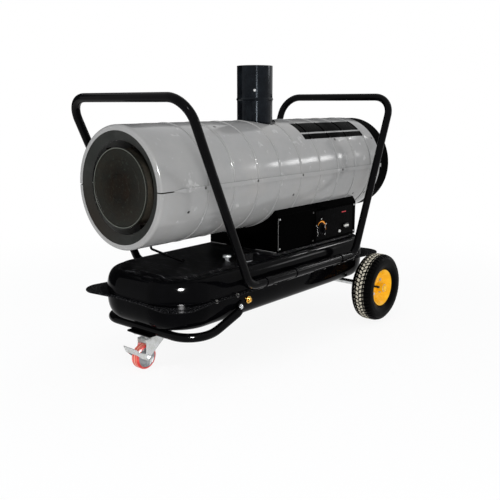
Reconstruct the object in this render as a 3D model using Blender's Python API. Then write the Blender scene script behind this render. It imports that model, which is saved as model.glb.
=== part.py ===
"""Indirect diesel forced air heater with a flue, on two wheels and a braked caster.

A ribbed two-part steel barrel holds a combustion chamber, and a fan behind it drives room air
round the chamber and out of the front ring. Barrel and control box stand on a flat pressed fuel
tank. Two bent tube handles run down beside the tank and are clipped to its flange.

Units are metres and +Z is up. The outlet faces -X and the control panel faces -Y. The origin is
on the floor under the middle of the heater. A station is a distance behind the outlet.
"""

import math

import bmesh
import bpy
from mathutils import Matrix, Vector

# Fits and tessellation shared by all pieces
SEAT_GAP = 0.0003
RUN_GAP = 0.0006
CUT_OVERRUN = 0.010
WELD = 0.000001
SHARP_SHARE = 0.19
FLAT_LIMIT = 0.05
BARREL_SIDES = 32
ROUND_SIDES = 20
SLIM_SIDES = 16
SMALL_SIDES = 12
ROD_SIDES = 6

# Barrel shells
SHELL_LENGTH = 1.210
SHELL_RADIUS = 0.187
SHELL_SHEET = 0.0015
BARREL_CLEARANCE = 0.087
RIB_FIRST = 0.194
RIB_PITCH = 0.118
RIB_COUNT = 9
RIB_WIDTH = 0.007
RIB_RISE = 0.0022
LIP_DROP = 0.017
LIP_NOSE = 0.009
SEAM_STRIP = 0.007
SEAM_STEP = 0.0065
LOWER_LEDGE_SHARE = 1.5

# Outlet ring, chamber and its end
OUTLET_NARROWING = 0.030
OUTLET_DEPTH = 0.020
OUTLET_SHEET = 0.0012
OUTLET_FLANGE = 0.008
CHAMBER_CLEARANCE = 0.024
CHAMBER_END = 0.860
CHAMBER_WALL = 0.0015
FRONT_DISC_LIP = 0.005
FRONT_DISC_RIM = 0.0045
FRONT_DISC_START = 0.003
FRONT_DISC_DISH = 0.005
FRONT_DISC_STEP = 0.002
FRONT_DISC_STEP_RADIUS = 0.085
FRONT_DISC_CENTRE_RADIUS = 0.042
CHAMBER_SUPPORT_FRONT = 0.090
CHAMBER_SUPPORT_REAR = 0.800
CHAMBER_BRACKET_SHEET = 0.002
CHAMBER_BRACKET_LENGTH = 0.020
CHAMBER_BRACKET_ANGLES = (36.0, 144.0, 270.0)

# Flue
FLUE_STATION = 0.633
FLUE_RADIUS = 0.063
FLUE_WALL = 0.0012
FLUE_TOP = 0.960
FLUE_BEAD_HEIGHT = 0.845
FLUE_BEAD_RISE = 0.0025
FLUE_BEAD_WIDTH = 0.010
COLLAR_WIDTH = 0.010
COLLAR_RISE = 0.004

# Burner, fuel pump, motor and fan
BURNER_RADIUS = 0.044
BURNER_START = 0.820
BURNER_END = 0.950
BURNER_WALL = 0.0015
BURNER_FLANGE_RADIUS = 0.062
BURNER_FLANGE_SHEET = 0.003
NOZZLE_RADIUS = 0.011
NOZZLE_TIP_RADIUS = 0.005
NOZZLE_TIP_LENGTH = 0.010
NOZZLE_START = 0.905
NOZZLE_HEAD_RADIUS = 0.015
NOZZLE_HEAD_LENGTH = 0.007
MOTOR_START = 1.000
MOTOR_END = 1.130
MOTOR_RADIUS = 0.056
MOTOR_EDGE = 0.008
SHAFT_RADIUS = 0.006
SHAFT_DEPTH = 0.018
SHAFT_REACH = 0.046
PUMP_LENGTH = 0.024
PUMP_RADIUS = 0.030
PUMP_BOSS_RADIUS = 0.018
PUMP_BOSS_LENGTH = 0.010
FAN_STATION = 1.160
FAN_CLEARANCE = 0.019
FAN_HUB_RADIUS = 0.026
FAN_HUB_LENGTH = 0.026
FAN_BLADES = 5
FAN_BLADE_SHEET = 0.0016
FAN_ROOT_CHORD = 0.024
FAN_ROOT_BITE = 0.004
FAN_TIP_CHORD = 0.105
FAN_PITCH = 28.0
FAN_CAMBER = 0.006
CRADLE_SHEET = 0.003
CRADLE_INSET = 0.020
CRADLE_HALF = 0.066
CRADLE_STEPS = 6
CRADLE_SWEEP = 150.0
FUEL_LINE_RADIUS = 0.003
FUEL_LINE_WALL = 0.001
FUEL_LINE_BEND = 0.008
FUEL_LOOP = 0.022
FEED_STATION = 0.978
FEED_CLEARANCE = 0.030

# Rear ring and fan guard
RING_REACH = 0.075
RING_SEAT = 0.050
RING_SHEET = 0.0012
RING_BEAD = 0.0025
RING_BEAD_WIDTH = 0.006
GUARD_WIRE = 0.0030
GUARD_RINGS = 4
GUARD_SIDES = 16
GUARD_SPOKES = 8
GUARD_SPOKE_RADIUS = 0.0019
GUARD_SPOKE_OFFSET = 0.0006
GUARD_INSET = 0.008
GUARD_HUB_RADIUS = 0.032

# Fuel tank
FLANGE_HEIGHT = 0.236
TANK_SHEET = 0.0018
TANK_FRONT = 0.034
TANK_REAR = 1.152
TANK_HALF_WIDTH = 0.206
TANK_CORNER = 0.140
TANK_TOP = 0.311
TANK_BOTTOM = 0.148
TANK_SHOULDER = 0.038
TANK_CHINE = 0.056
PANEL_RISE = 0.007
PANEL_SLOPE = 0.006
PANEL_MARGIN = 0.002
NOTCH_START = 0.335
NOTCH_END = 0.560
NOTCH_DEPTH = 0.092
NOTCH_RAMP = 0.044
FLANGE_WIDTH = 0.016
EAR_RADIUS = 0.070
EAR_REACH = 0.013
CORNER_STEPS = 5

# Filler, cap and drain
FILLER_STATION = 0.430
FILLER_SIDE = 0.124
NECK_RADIUS = 0.0225
NECK_WALL = 0.002
NECK_RISE = 0.014
NECK_DROP = 0.010
NECK_FLANGE = 0.005
NECK_FLANGE_SHEET = 0.0015
STRAINER_WALL = 0.001
STRAINER_DEPTH = 0.062
CAP_RADIUS = 0.031
CAP_GRIP = 0.0018
CAP_HEIGHT = 0.026
CAP_EDGE = 0.003
CAP_LOBES = 8
DRAIN_STATION = 0.352
DRAIN_HEIGHT = 0.205
DRAIN_RADIUS = 0.0085
DRAIN_LENGTH = 0.010
DRAIN_COLLAR_RADIUS = 0.012
DRAIN_COLLAR = 0.003

# Handles and their clips
TUBE_RADIUS = 0.014
TUBE_WALL = 0.002
TUBE_SIDES = 8
BEND_STEPS = 4
HANDLE_SIDE = 0.260
RAIL_HEIGHT = 0.270
RAIL_JOINT = 0.580
FRONT_HANDLE_TOP = 0.848
FRONT_HANDLE_STATION = 0.032
FRONT_FOOT_STATION = 0.296
REAR_HANDLE_TOP = 0.855
REAR_HANDLE_STATION = 1.157
REAR_FOOT_STATION = 0.914
HANDLE_TOP_BEND = 0.075
HANDLE_FOOT_BEND = 0.055
CLIP_SHEET = 0.0022
CLIP_END_WIDTH = 0.030
CLIP_JOINT_WIDTH = 0.100
CLIP_FRONT_STATION = 0.386
CLIP_REAR_STATION = 0.827
CLIP_STEPS = 6
CLIP_START_ANGLE = 228.0
CLIP_SWEEP_ANGLE = 338.0
CLIP_BODY_GAP = 0.002
CLIP_TAIL = 0.024

# Front frame tube
FRAME_TUBE_STATION = 0.085
FRAME_SIDE = 0.205
FRAME_FRONT_BEND = 0.075
FRAME_RISE_STATION = 0.190
FRAME_RISE_BEND = 0.090
FRAME_END_STATION = 0.280
FRAME_END_HEIGHT = 0.179
FRAME_END_SIDE = 0.222
LUG_LENGTH = 0.030
LUG_TAPER = 0.016
LUG_THICKNESS = 0.007
LUG_SPREAD_SHARE = 1.25

# Wheels and axle
WHEEL_RADIUS = 0.130
WHEEL_WIDTH = 0.087
WHEEL_SIDE = 0.300
AXLE_STATION = 1.015
AXLE_RADIUS = 0.010
HUB_RADIUS = 0.0165
HUB_WALL = 0.0025
HUB_LENGTH = 0.076
BEAD_RADIUS = 0.067
RIM_FLANGE = 0.004
RIM_FLANGE_SHEET = 0.003
RIM_WIDTH = 0.060
RIM_WEB_HALF = 0.0035
RIM_WEB_RADIUS = 0.047
RIM_ROOT_RADIUS = 0.023
AXLE_CAP_WALL = 0.0025
AXLE_COLLAR_RADIUS = 0.015
AXLE_COLLAR = 0.006
AXLE_PLATE_SIDE = 0.085
AXLE_PLATE_SHEET = 0.004
AXLE_PLATE_HALF = 0.034
AXLE_EYE_RADIUS = 0.018
EYE_STEPS = 6

# Caster
CASTER_RADIUS = 0.040
CASTER_WIDTH = 0.032
CASTER_STATION = 0.078
SWIVEL_STATION = 0.110
CASTER_TREAD = 0.007
CASTER_TREAD_EDGE = 0.005
CASTER_HUB_WIDTH = 0.036
CASTER_HUB_RADIUS = 0.011
CASTER_WEB_HALF = 0.006
CASTER_AXLE_RADIUS = 0.004
CASTER_HEAD_RADIUS = 0.007
CASTER_HEAD_LENGTH = 0.005
FORK_SHEET = 0.0025
FORK_INSIDE = 0.019
FORK_TOP = 0.100
FORK_HALF_LENGTH = 0.038
FORK_LEG_DROP = 0.012
FORK_EYE_RADIUS = 0.011
CROWN_RADIUS = 0.026
CASTER_PLATE_LENGTH = 0.100
CASTER_PLATE_WIDTH = 0.070
CASTER_PLATE_SHEET = 0.0028
CARRIER_LENGTH = 0.108
CARRIER_WIDTH = 0.110
CARRIER_SHEET = 0.0042
CARRIER_BITE = 0.0024
BRAKE_SHEET = 0.0022
BRAKE_FIT = 0.0010
BRAKE_EYE_RADIUS = 0.010
BRAKE_TIP_REACH = 0.062
BRAKE_TIP_RISE = 0.045
BRAKE_HEEL_REACH = 0.052
BRAKE_HEEL_RISE = 0.024

# Control box
BOX_FRONT = 0.565
BOX_REAR = 1.075
BOX_HALF_WIDTH = 0.160
BOX_SHOULDER_DROP = 0.138
BOX_CREST_HALF = 0.134
BOX_CREST_DROP = 0.099
BOX_SHEET = 0.0015
COVER_SHEET = 0.0015
COVER_MARGIN = 0.003
WINDOW_MARGIN = 0.018
BEZEL_FRONT = 0.795
BEZEL_REAR = 1.048
BEZEL_LOW = 0.328
BEZEL_HIGH = 0.438
BEZEL_SHEET = 0.001
KNOB_STATION = 0.831
KNOB_RISE = 0.042
KNOB_RADIUS = 0.017
KNOB_DEPTH = 0.017
KNOB_SKIRT_RADIUS = 0.022
KNOB_SKIRT = 0.004
KNOB_GRIP_HALF = 0.0045
KNOB_GRIP_EDGE = 0.001
SWITCH_STATION = 0.997
SWITCH_PLACE_RISE = 0.033
SWITCH_LENGTH = 0.026
SWITCH_TALL = 0.017
SWITCH_RISE = 0.009
SWITCH_DIP = 0.002
SWITCH_RELIEF = 9.5
LAMP_STATION = 0.955
LAMP_PLACE_RISE = 0.015
LAMP_RADIUS = 0.006
LAMP_DEPTH = 0.006
LAMP_EDGE = 0.002
GLAND_RADIUS = 0.011
GLAND_LENGTH = 0.020
GLAND_NECK_RADIUS = 0.008
GLAND_BORE = 0.0045
GLAND_SIDE = 0.115
GLAND_HEIGHT = 0.365
TRANSFORMER_STATION = 0.700
TRANSFORMER_LENGTH = 0.095
TRANSFORMER_WIDTH = 0.065
TRANSFORMER_HEIGHT = 0.052
TRANSFORMER_EDGE = 0.004
STAY_TOP_STATION = 0.122
STAY_FOOT_STATION = 0.251
STAY_RADIUS = 0.004
STAY_END_LENGTH = 0.014
STAY_BEND = 0.010

# Sizes worked out from the ones above
OVERALL_LENGTH = SHELL_LENGTH + RING_REACH
PANEL_TOP = TANK_TOP + PANEL_RISE
SHELL_BORE = SHELL_RADIUS - SHELL_SHEET
BARREL_HEIGHT = TANK_TOP + BARREL_CLEARANCE + SHELL_RADIUS
LIP_RADIUS = SHELL_RADIUS - LIP_DROP
OUTLET_MOUTH_RADIUS = LIP_RADIUS - OUTLET_NARROWING
CHAMBER_RADIUS = OUTLET_MOUTH_RADIUS - CHAMBER_CLEARANCE
FRONT_DISC_RADIUS = CHAMBER_RADIUS + FRONT_DISC_LIP
FAN_RADIUS = SHELL_RADIUS - FAN_CLEARANCE
BOX_SHOULDER_HEIGHT = BARREL_HEIGHT - BOX_SHOULDER_DROP
BOX_CREST_HEIGHT = BARREL_HEIGHT - BOX_CREST_DROP
KNOB_HEIGHT = BEZEL_LOW + KNOB_RISE
SWITCH_HEIGHT = BEZEL_LOW + SWITCH_PLACE_RISE
LAMP_HEIGHT = BEZEL_LOW + LAMP_PLACE_RISE
BARREL_FLAT_SHARE = math.cos(math.pi / BARREL_SIDES)
SMALL_CORNER_SHARE = 1 / math.cos(math.pi / SMALL_SIDES)
RING_RADIUS = SHELL_BORE - SEAT_GAP
RING_BORE = RING_RADIUS - RING_SHEET
CHAMBER_START = FRONT_DISC_START + FRONT_DISC_DISH + CHAMBER_WALL + SEAT_GAP
FLANGE_TOP = FLANGE_HEIGHT + SEAT_GAP / 2 + TANK_SHEET
FLANGE_UNDER = FLANGE_HEIGHT - SEAT_GAP / 2 - TANK_SHEET
FRAME_TUBE_HEIGHT = TANK_BOTTOM - SEAT_GAP - TUBE_RADIUS
LUG_SIDE = TANK_HALF_WIDTH + SEAT_GAP + LUG_THICKNESS / 2
COVER_FACE = BOX_HALF_WIDTH + SEAT_GAP + COVER_SHEET
BEZEL_FACE = COVER_FACE + SEAT_GAP + BEZEL_SHEET
CARRIER_UNDER = FRAME_TUBE_HEIGHT - TUBE_RADIUS + CARRIER_BITE - CARRIER_SHEET
PLATE_UNDER = CARRIER_UNDER - SEAT_GAP - CASTER_PLATE_SHEET
FORK_OUTSIDE = FORK_INSIDE + FORK_SHEET
YOKE_INSIDE = FORK_OUTSIDE + BRAKE_FIT
YOKE_OUTSIDE = YOKE_INSIDE + BRAKE_SHEET


def station(distance):
    """X of a place that lies this far behind the outlet."""
    return distance - OVERALL_LENGTH / 2


def make_material(name, colour, roughness, metallic=0.0):
    """A plain finish in the colour of the piece."""
    finish = bpy.data.materials.new(name)
    finish.use_nodes = True
    shader = finish.node_tree.nodes["Principled BSDF"]
    shader.inputs["Base Color"].default_value = (*colour, 1.0)
    shader.inputs["Roughness"].default_value = roughness
    shader.inputs["Metallic"].default_value = metallic
    finish.diffuse_color = (*colour, 1.0)
    return finish


def add_piece(name, bm, finish, place=(0, 0, 0)):
    """Turns a closed bmesh into the named object of one sub-part."""
    bmesh.ops.remove_doubles(bm, verts=bm.verts, dist=WELD)
    bmesh.ops.recalc_face_normals(bm, faces=bm.faces)
    mesh = bpy.data.meshes.new(name)
    bm.to_mesh(mesh)
    bm.free()
    mesh.materials.append(finish)
    mesh.shade_smooth()
    mesh.set_sharp_from_angle(angle=math.pi * SHARP_SHARE)
    piece = bpy.data.objects.new(name, mesh)
    piece.location = place
    bpy.context.collection.objects.link(piece)
    return piece


def combine(piece, tool, operation="DIFFERENCE"):
    """Cuts the tool's body out of the piece, or joins it on."""
    tool.hide_render = True
    tool.display_type = "WIRE"
    step = piece.modifiers.new(tool.name, "BOOLEAN")
    step.operation = operation
    step.solver = "EXACT"
    step.object = tool


def turned(bm, profile, sides, axis, centre=(0, 0, 0), closed=True, corners_fit=False):
    """Spins (along, radius) points round an axis through the centre.

    The flats of the many-sided result lie at the given radius, or its corners where they have
    to fit. A flat faces straight down where the axis is level.
    """
    along = Vector(axis)
    down = Vector((-1, 0, 0)) if along.z else Vector((0, 0, -1))
    outward = Matrix.Rotation(math.pi / sides, 3, along) @ down
    stretch = 1 if corners_fit else 1 / math.cos(math.pi / sides)
    middle = Vector(centre)
    points = [bm.verts.new(middle + along * a + outward * r * stretch) for a, r in profile]
    edges = [bm.edges.new(pair) for pair in zip(points, points[1:])]
    if closed:
        edges.append(bm.edges.new((points[-1], points[0])))
    bmesh.ops.spin(
        bm, geom=points + edges, cent=middle, axis=along, angle=math.tau, steps=sides,
        use_merge=True)


def lofted(bm, rings):
    """Skins rings of equally many points and closes both ends."""
    rows = [[bm.verts.new(point) for point in ring] for ring in rings]
    for low, high in zip(rows, rows[1:]):
        for here in range(len(low)):
            after = (here + 1) % len(low)
            bm.faces.new((low[here], low[after], high[after], high[here]))
    bm.faces.new(rows[0])
    bm.faces.new(rows[-1])


def prism(bm, outline, low, high, axis):
    """Extrudes a flat outline between two places along X, Y or Z."""
    places = {
        "X": lambda a, b, c: (c, a, b),
        "Y": lambda a, b, c: (a, c, b),
        "Z": lambda a, b, c: (a, b, c),
    }
    place = places[axis]
    base = bm.faces.new([bm.verts.new(place(a, b, low)) for a, b in outline])
    grown = bmesh.ops.extrude_face_region(bm, geom=region([base]))
    moved = [item for item in grown["geom"] if isinstance(item, bmesh.types.BMVert)]
    bmesh.ops.translate(bm, verts=moved, vec=Vector(place(0, 0, high)) - Vector(place(0, 0, low)))


def block(bm, low, high, edge=0.0):
    """A box between two corners, with bevelled edges where an edge is given."""
    size = [b - a for a, b in zip(low, high)]
    middle = [(a + b) / 2 for a, b in zip(low, high)]
    made = bmesh.ops.create_cube(
        bm, size=1, matrix=Matrix.LocRotScale(Vector(middle), None, Vector(size)))
    if edge:
        edges = list({e for corner in made["verts"] for e in corner.link_edges})
        bmesh.ops.bevel(bm, geom=edges, offset=edge, segments=1, affect="EDGES")


def arc_points(radius, steps, centre, start, sweep):
    """Points along an arc with both its ends."""
    turns = [start + sweep * k / steps for k in range(steps + 1)]
    return [(centre[0] + radius * math.cos(t), centre[1] + radius * math.sin(t)) for t in turns]


def region(faces):
    """Faces with their edges and corners, as extrude and spin want them."""
    edges = {edge for face in faces for edge in face.edges}
    corners = {corner for face in faces for corner in face.verts}
    return list(faces) + list(edges) + list(corners)


def faces_of(items):
    """The faces among the items that an operator gives back."""
    return [item for item in items if isinstance(item, bmesh.types.BMFace)]


def pushed(bm, faces, way):
    """Extrudes the end faces of a tube straight on and returns the new end."""
    grown = bmesh.ops.extrude_face_region(bm, geom=region(faces))
    ends = faces_of(grown["geom"])
    corners = list({corner for face in ends for corner in face.verts})
    bmesh.ops.translate(bm, verts=corners, vec=way)
    return ends


def tube_start(bm, place, heading, radius, wall, sides):
    """The end face of a bar, or the ring of end faces of a tube."""
    across = heading.orthogonal().normalized()
    turns = [Matrix.Rotation(math.tau * (k + 1 / 2) / sides, 3, heading) for k in range(sides)]
    outer = [bm.verts.new(place + turn @ across * radius) for turn in turns]
    if not wall:
        return [bm.faces.new(outer)]
    inner = [bm.verts.new(place + turn @ across * (radius - wall)) for turn in turns]
    faces = []
    for here in range(sides):
        after = (here + 1) % sides
        faces.append(bm.faces.new((outer[here], outer[after], inner[after], inner[here])))
    return faces


def bent_tube(bm, corners, bends, radius, wall, sides):
    """Bends a tube along straight runs, and returns the faces of its two ends."""
    corners = [Vector(corner) for corner in corners]
    heading = (corners[1] - corners[0]).normalized()
    start = tube_start(bm, corners[0], heading, radius, wall, sides)
    faces = list(start)
    place = corners[0]
    for before, corner, after, bend in zip(corners, corners[1:], corners[2:], bends):
        coming = (corner - before).normalized()
        going = (after - corner).normalized()
        turn = coming.angle(going)
        tangent = corner - coming * bend * math.tan(turn / 2)
        faces = pushed(bm, faces, tangent - place)
        axis = coming.cross(going).normalized()
        swept = bmesh.ops.spin(
            bm, geom=region(faces), cent=tangent + axis.cross(coming) * bend, axis=axis,
            angle=turn, steps=BEND_STEPS)
        faces = faces_of(swept["geom_last"])
        place = corner + going * bend * math.tan(turn / 2)
    faces = pushed(bm, faces, corners[-1] - place)
    return start, faces


def hexagon(bm, centre, axis, radius, height):
    """A hexagon head or nut that stands on the centre point."""
    profile = ((0, 0), (0, radius), (height, radius), (height, 0))
    turned(bm, profile, 6, axis, centre, closed=False, corners_fit=True)


def round_cutter(name, radius, low, high, axis, centre, sides, finish):
    """A round bar between two places on an axis through the centre."""
    bm = bmesh.new()
    turned(bm, ((low, 0), (low, radius), (high, radius), (high, 0)), sides, axis, centre, False)
    return add_piece(name, bm, finish)


# Fuel tank


def notch_points(half, height, notch):
    """Points along the control side, pulled in by the notch between its two ramps."""
    ramp_share = 1 / 2
    places = (
        (NOTCH_START, 0), (NOTCH_START + NOTCH_RAMP * ramp_share, ramp_share),
        (NOTCH_START + NOTCH_RAMP, 1), (NOTCH_END - NOTCH_RAMP, 1),
        (NOTCH_END - NOTCH_RAMP * ramp_share, ramp_share), (NOTCH_END, 0))
    return [(station(x), notch * share - half, height) for x, share in places]


def plan_corners(inset):
    """Corner arcs of the tank's plan outline, drawn in by the inset, anticlockwise."""
    half = TANK_HALF_WIDTH - inset
    corner = TANK_CORNER - inset
    front = station(TANK_FRONT) + inset + corner
    rear = station(TANK_REAR) - inset - corner
    side = half - corner
    centres = ((rear, side), (front, side), (front, -side), (rear, -side))
    return [
        arc_points(corner, CORNER_STEPS, centre, math.tau * quarter / 4, math.tau / 4)
        for quarter, centre in enumerate(centres)]


def plan_ring(inset, height, notch=0.0):
    """The plan outline at one height, with the recess beside the filler where one is given."""
    arcs = [[(a, b, height) for a, b in arc] for arc in plan_corners(inset)]
    recess = notch_points(TANK_HALF_WIDTH - inset, height, notch)
    return arcs[0] + arcs[1] + arcs[2] + recess + arcs[3]


def flange_ring(height):
    """The flange's outer edge, whose corners stand out as round ears."""
    half = TANK_HALF_WIDTH + FLANGE_WIDTH
    ends = {1: station(TANK_REAR) + FLANGE_WIDTH, -1: station(TANK_FRONT) - FLANGE_WIDTH}
    quarters = ((1, 1), (-1, 1), (-1, -1), (1, -1))
    rings = []
    for quarter, ((along, across), arc) in enumerate(zip(quarters, plan_corners(0.0))):
        inward = EAR_REACH - EAR_RADIUS
        centre = (ends[along] + along * inward, across * (half + inward))
        ear = arc_points(
            EAR_RADIUS, CORNER_STEPS - 2, centre, math.tau * quarter / 4, math.tau / 4)
        on_end = [(ends[along], b) for a, b in (arc[0], arc[-1])]
        on_side = [(a, across * half) for a, b in (arc[0], arc[-1])]
        first, last = (on_end[0], on_side[1]) if along == across else (on_side[0], on_end[1])
        rings.append([(a, b, height) for a, b in (first, *ear, last)])
    recess = notch_points(half, height, 0.0)
    return rings[0] + rings[1] + rings[2] + recess + rings[3]


def tank_levels(shares, depth, reach):
    """Inset and height of the rings that round off a pressed half."""
    return [(reach * inset, FLANGE_HEIGHT + depth * level) for inset, level in shares]


def tank_upper_shell(finish):
    """Pressed top half: round shoulder, raised panel and a recess for the filler."""
    bm = bmesh.new()
    shoulder_shares = (
        (0.0, 0.0), (0.05, 0.42), (0.20, 0.68), (0.46, 0.87), (0.76, 0.97), (1.0, 1.0))
    levels = tank_levels(shoulder_shares, TANK_TOP - FLANGE_HEIGHT, TANK_SHOULDER)
    seat = FLANGE_HEIGHT + SEAT_GAP / 2
    foot = TANK_SHOULDER + PANEL_MARGIN
    rings = [
        plan_ring(foot + PANEL_SLOPE, PANEL_TOP, NOTCH_DEPTH), plan_ring(foot, TANK_TOP, NOTCH_DEPTH)]
    rings += [plan_ring(inset, height) for inset, height in reversed(levels[1:])]
    rings += [plan_ring(0.0, FLANGE_TOP), flange_ring(FLANGE_TOP), flange_ring(seat)]
    rings.append(plan_ring(TANK_SHEET, seat))
    rings += [plan_ring(inset + TANK_SHEET, height - TANK_SHEET) for inset, height in levels[1:]]
    rings.append(plan_ring(foot + TANK_SHEET, TANK_TOP - TANK_SHEET, NOTCH_DEPTH))
    rings.append(
        plan_ring(foot + TANK_SHEET + PANEL_SLOPE, PANEL_TOP - TANK_SHEET, NOTCH_DEPTH))
    lofted(bm, rings)
    shell = add_piece("tank_upper_shell", bm, finish)
    centre = (station(FILLER_STATION), -FILLER_SIDE, TANK_TOP)
    span = TANK_SHEET + CUT_OVERRUN
    combine(shell, round_cutter(
        "filler_hole_tool", NECK_RADIUS + SEAT_GAP, -span, CUT_OVERRUN, (0, 0, 1), centre,
        SLIM_SIDES, finish))
    combine(shell, round_cutter(
        "suction_hole_tool", FUEL_LINE_RADIUS + RUN_GAP, TANK_TOP - CUT_OVERRUN,
        PANEL_TOP + CUT_OVERRUN, (0, 0, 1), (station(FEED_STATION), 0, 0), ROD_SIDES, finish))


def tank_lower_shell(finish):
    """Pressed lower half with a rounded chine."""
    bm = bmesh.new()
    chine_shares = (
        (0.0, 0.0), (0.0, 0.45), (0.12, 0.70), (0.36, 0.87), (0.70, 0.98), (1.0, 1.0))
    levels = tank_levels(chine_shares, TANK_BOTTOM - FLANGE_HEIGHT, TANK_CHINE)
    seat = FLANGE_HEIGHT - SEAT_GAP / 2
    rings = [plan_ring(inset, height) for inset, height in reversed(levels[1:])]
    rings += [plan_ring(0.0, FLANGE_UNDER), flange_ring(FLANGE_UNDER), flange_ring(seat)]
    rings.append(plan_ring(TANK_SHEET, seat))
    rings += [plan_ring(inset + TANK_SHEET, height + TANK_SHEET) for inset, height in levels[1:]]
    lofted(bm, rings)
    add_piece("tank_lower_shell", bm, finish)


def filler_neck(finish):
    """Turned neck that stands in the hole of the recess on its own flange."""
    bm = bmesh.new()
    bore = NECK_RADIUS - NECK_WALL
    profile = (
        (-NECK_DROP, bore), (-NECK_DROP, NECK_RADIUS), (SEAT_GAP, NECK_RADIUS),
        (SEAT_GAP, NECK_RADIUS + NECK_FLANGE),
        (SEAT_GAP + NECK_FLANGE_SHEET, NECK_RADIUS + NECK_FLANGE),
        (SEAT_GAP + NECK_FLANGE_SHEET, NECK_RADIUS), (NECK_RISE, NECK_RADIUS), (NECK_RISE, bore))
    turned(bm, profile, SLIM_SIDES, (0, 0, 1))
    add_piece("filler_neck", bm, finish, (station(FILLER_STATION), -FILLER_SIDE, TANK_TOP))


def fuel_strainer(finish):
    """Cup shaped strainer that hangs in the neck by its rim."""
    bm = bmesh.new()
    outside = NECK_RADIUS - NECK_WALL - SEAT_GAP
    inside = outside - STRAINER_WALL
    rim = NECK_RISE + SEAT_GAP
    top = rim + STRAINER_WALL
    profile = (
        (-STRAINER_DEPTH, 0), (-STRAINER_DEPTH, outside), (rim, outside), (rim, NECK_RADIUS),
        (top, NECK_RADIUS), (top, inside), (STRAINER_WALL - STRAINER_DEPTH, inside),
        (STRAINER_WALL - STRAINER_DEPTH, 0))
    turned(bm, profile, SLIM_SIDES, (0, 0, 1), closed=False)
    add_piece("fuel_strainer", bm, finish, (station(FILLER_STATION), -FILLER_SIDE, TANK_TOP))


def fuel_cap(finish):
    """Lobed cap that covers the neck and rests on the strainer's rim."""
    bm = bmesh.new()
    mouth = SEAT_GAP + NECK_FLANGE_SHEET + CAP_EDGE / 2
    roof = NECK_RISE + SEAT_GAP + STRAINER_WALL + SEAT_GAP
    top = mouth + CAP_HEIGHT
    points = 3 * CAP_LOBES

    def ring(radius, height, lobe=0.0):
        reach = [radius - lobe * (k % 3 == 0) for k in range(points)]
        turns = [math.tau * k / points for k in range(points)]
        return [(r * math.cos(t), r * math.sin(t), height) for r, t in zip(reach, turns)]

    bore = NECK_RADIUS + NECK_WALL
    lofted(bm, (
        ring(bore, roof), ring(bore, mouth), ring(CAP_RADIUS, mouth, CAP_GRIP),
        ring(CAP_RADIUS, top - CAP_EDGE, CAP_GRIP), ring(CAP_RADIUS - CAP_EDGE, top)))
    add_piece("fuel_cap", bm, finish, (station(FILLER_STATION), -FILLER_SIDE, TANK_TOP))


def drain_plug(finish):
    """Brass plug with a wide collar, low on the control side."""
    bm = bmesh.new()
    centre = Vector((station(DRAIN_STATION), -TANK_HALF_WIDTH - SEAT_GAP, DRAIN_HEIGHT))
    profile = (
        (0, 0), (0, DRAIN_COLLAR_RADIUS), (DRAIN_COLLAR, DRAIN_COLLAR_RADIUS),
        (DRAIN_COLLAR, DRAIN_RADIUS), (DRAIN_LENGTH, DRAIN_RADIUS), (DRAIN_LENGTH, 0))
    turned(bm, profile, SMALL_SIDES, (0, -1, 0), centre, closed=False)
    add_piece("drain_plug", bm, finish)


# Frame tubes and handles


def front_frame_tube(finish):
    """Tube under the tank's nose with pressed flat ends and the caster's plate welded below."""
    bm = bmesh.new()
    path = [
        (station(FRAME_END_STATION), FRAME_END_SIDE, FRAME_END_HEIGHT),
        (station(FRAME_RISE_STATION), FRAME_SIDE, FRAME_TUBE_HEIGHT),
        (station(FRAME_TUBE_STATION), FRAME_SIDE, FRAME_TUBE_HEIGHT)]
    mirrored = [(x, -y, z) for x, y, z in reversed(path)]
    bends = (FRAME_RISE_BEND, FRAME_FRONT_BEND, FRAME_FRONT_BEND, FRAME_RISE_BEND)
    start, end = bent_tube(
        bm, path + mirrored, bends, TUBE_RADIUS, TUBE_WALL, TUBE_SIDES)
    rise = Vector(path[0]) - Vector(path[1])
    for side, faces in ((1, start), (-1, end)):
        press_lug(bm, faces, rise, side)
    tube = add_piece("front_frame_tube", bm, finish)
    carrier = bmesh.new()
    x = station(SWIVEL_STATION)
    block(
        carrier, (x - CARRIER_LENGTH / 2, -CARRIER_WIDTH / 2, CARRIER_UNDER),
        (x + CARRIER_LENGTH / 2, CARRIER_WIDTH / 2, CARRIER_UNDER + CARRIER_SHEET))
    combine(tube, add_piece("carrier_tool", carrier, finish), "UNION")


def press_lug(bm, faces, rise, side):
    """Presses a tube's end flat, so that it lies against the tank's side."""
    way = Vector((rise.x, 0, rise.z)).normalized()
    faces = pushed(bm, faces, way * LUG_TAPER)
    corners = list({corner for face in faces for corner in face.verts})
    middle = sum((corner.co for corner in corners), Vector()) / len(corners)
    flat_share = LUG_THICKNESS / (2 * TUBE_RADIUS)
    for corner in corners:
        offset = corner.co - middle
        corner.co.y = side * LUG_SIDE + offset.y * flat_share
        corner.co.z = middle.z + offset.z * LUG_SPREAD_SHARE
    pushed(bm, faces, way * LUG_LENGTH)


def handle(name, joint, foot, top, height, finish):
    """One loop of tube: along the tank, up its leg, across, and down and back again."""
    bm = bmesh.new()
    side_path = [
        (station(joint), HANDLE_SIDE, RAIL_HEIGHT), (station(foot), HANDLE_SIDE, RAIL_HEIGHT),
        (station(top), HANDLE_SIDE, height)]
    mirrored = [(x, -y, z) for x, y, z in reversed(side_path)]
    bends = (HANDLE_FOOT_BEND, HANDLE_TOP_BEND, HANDLE_TOP_BEND, HANDLE_FOOT_BEND)
    bent_tube(bm, side_path + mirrored, bends, TUBE_RADIUS, TUBE_WALL, TUBE_SIDES)
    add_piece(name, bm, finish)


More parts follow.
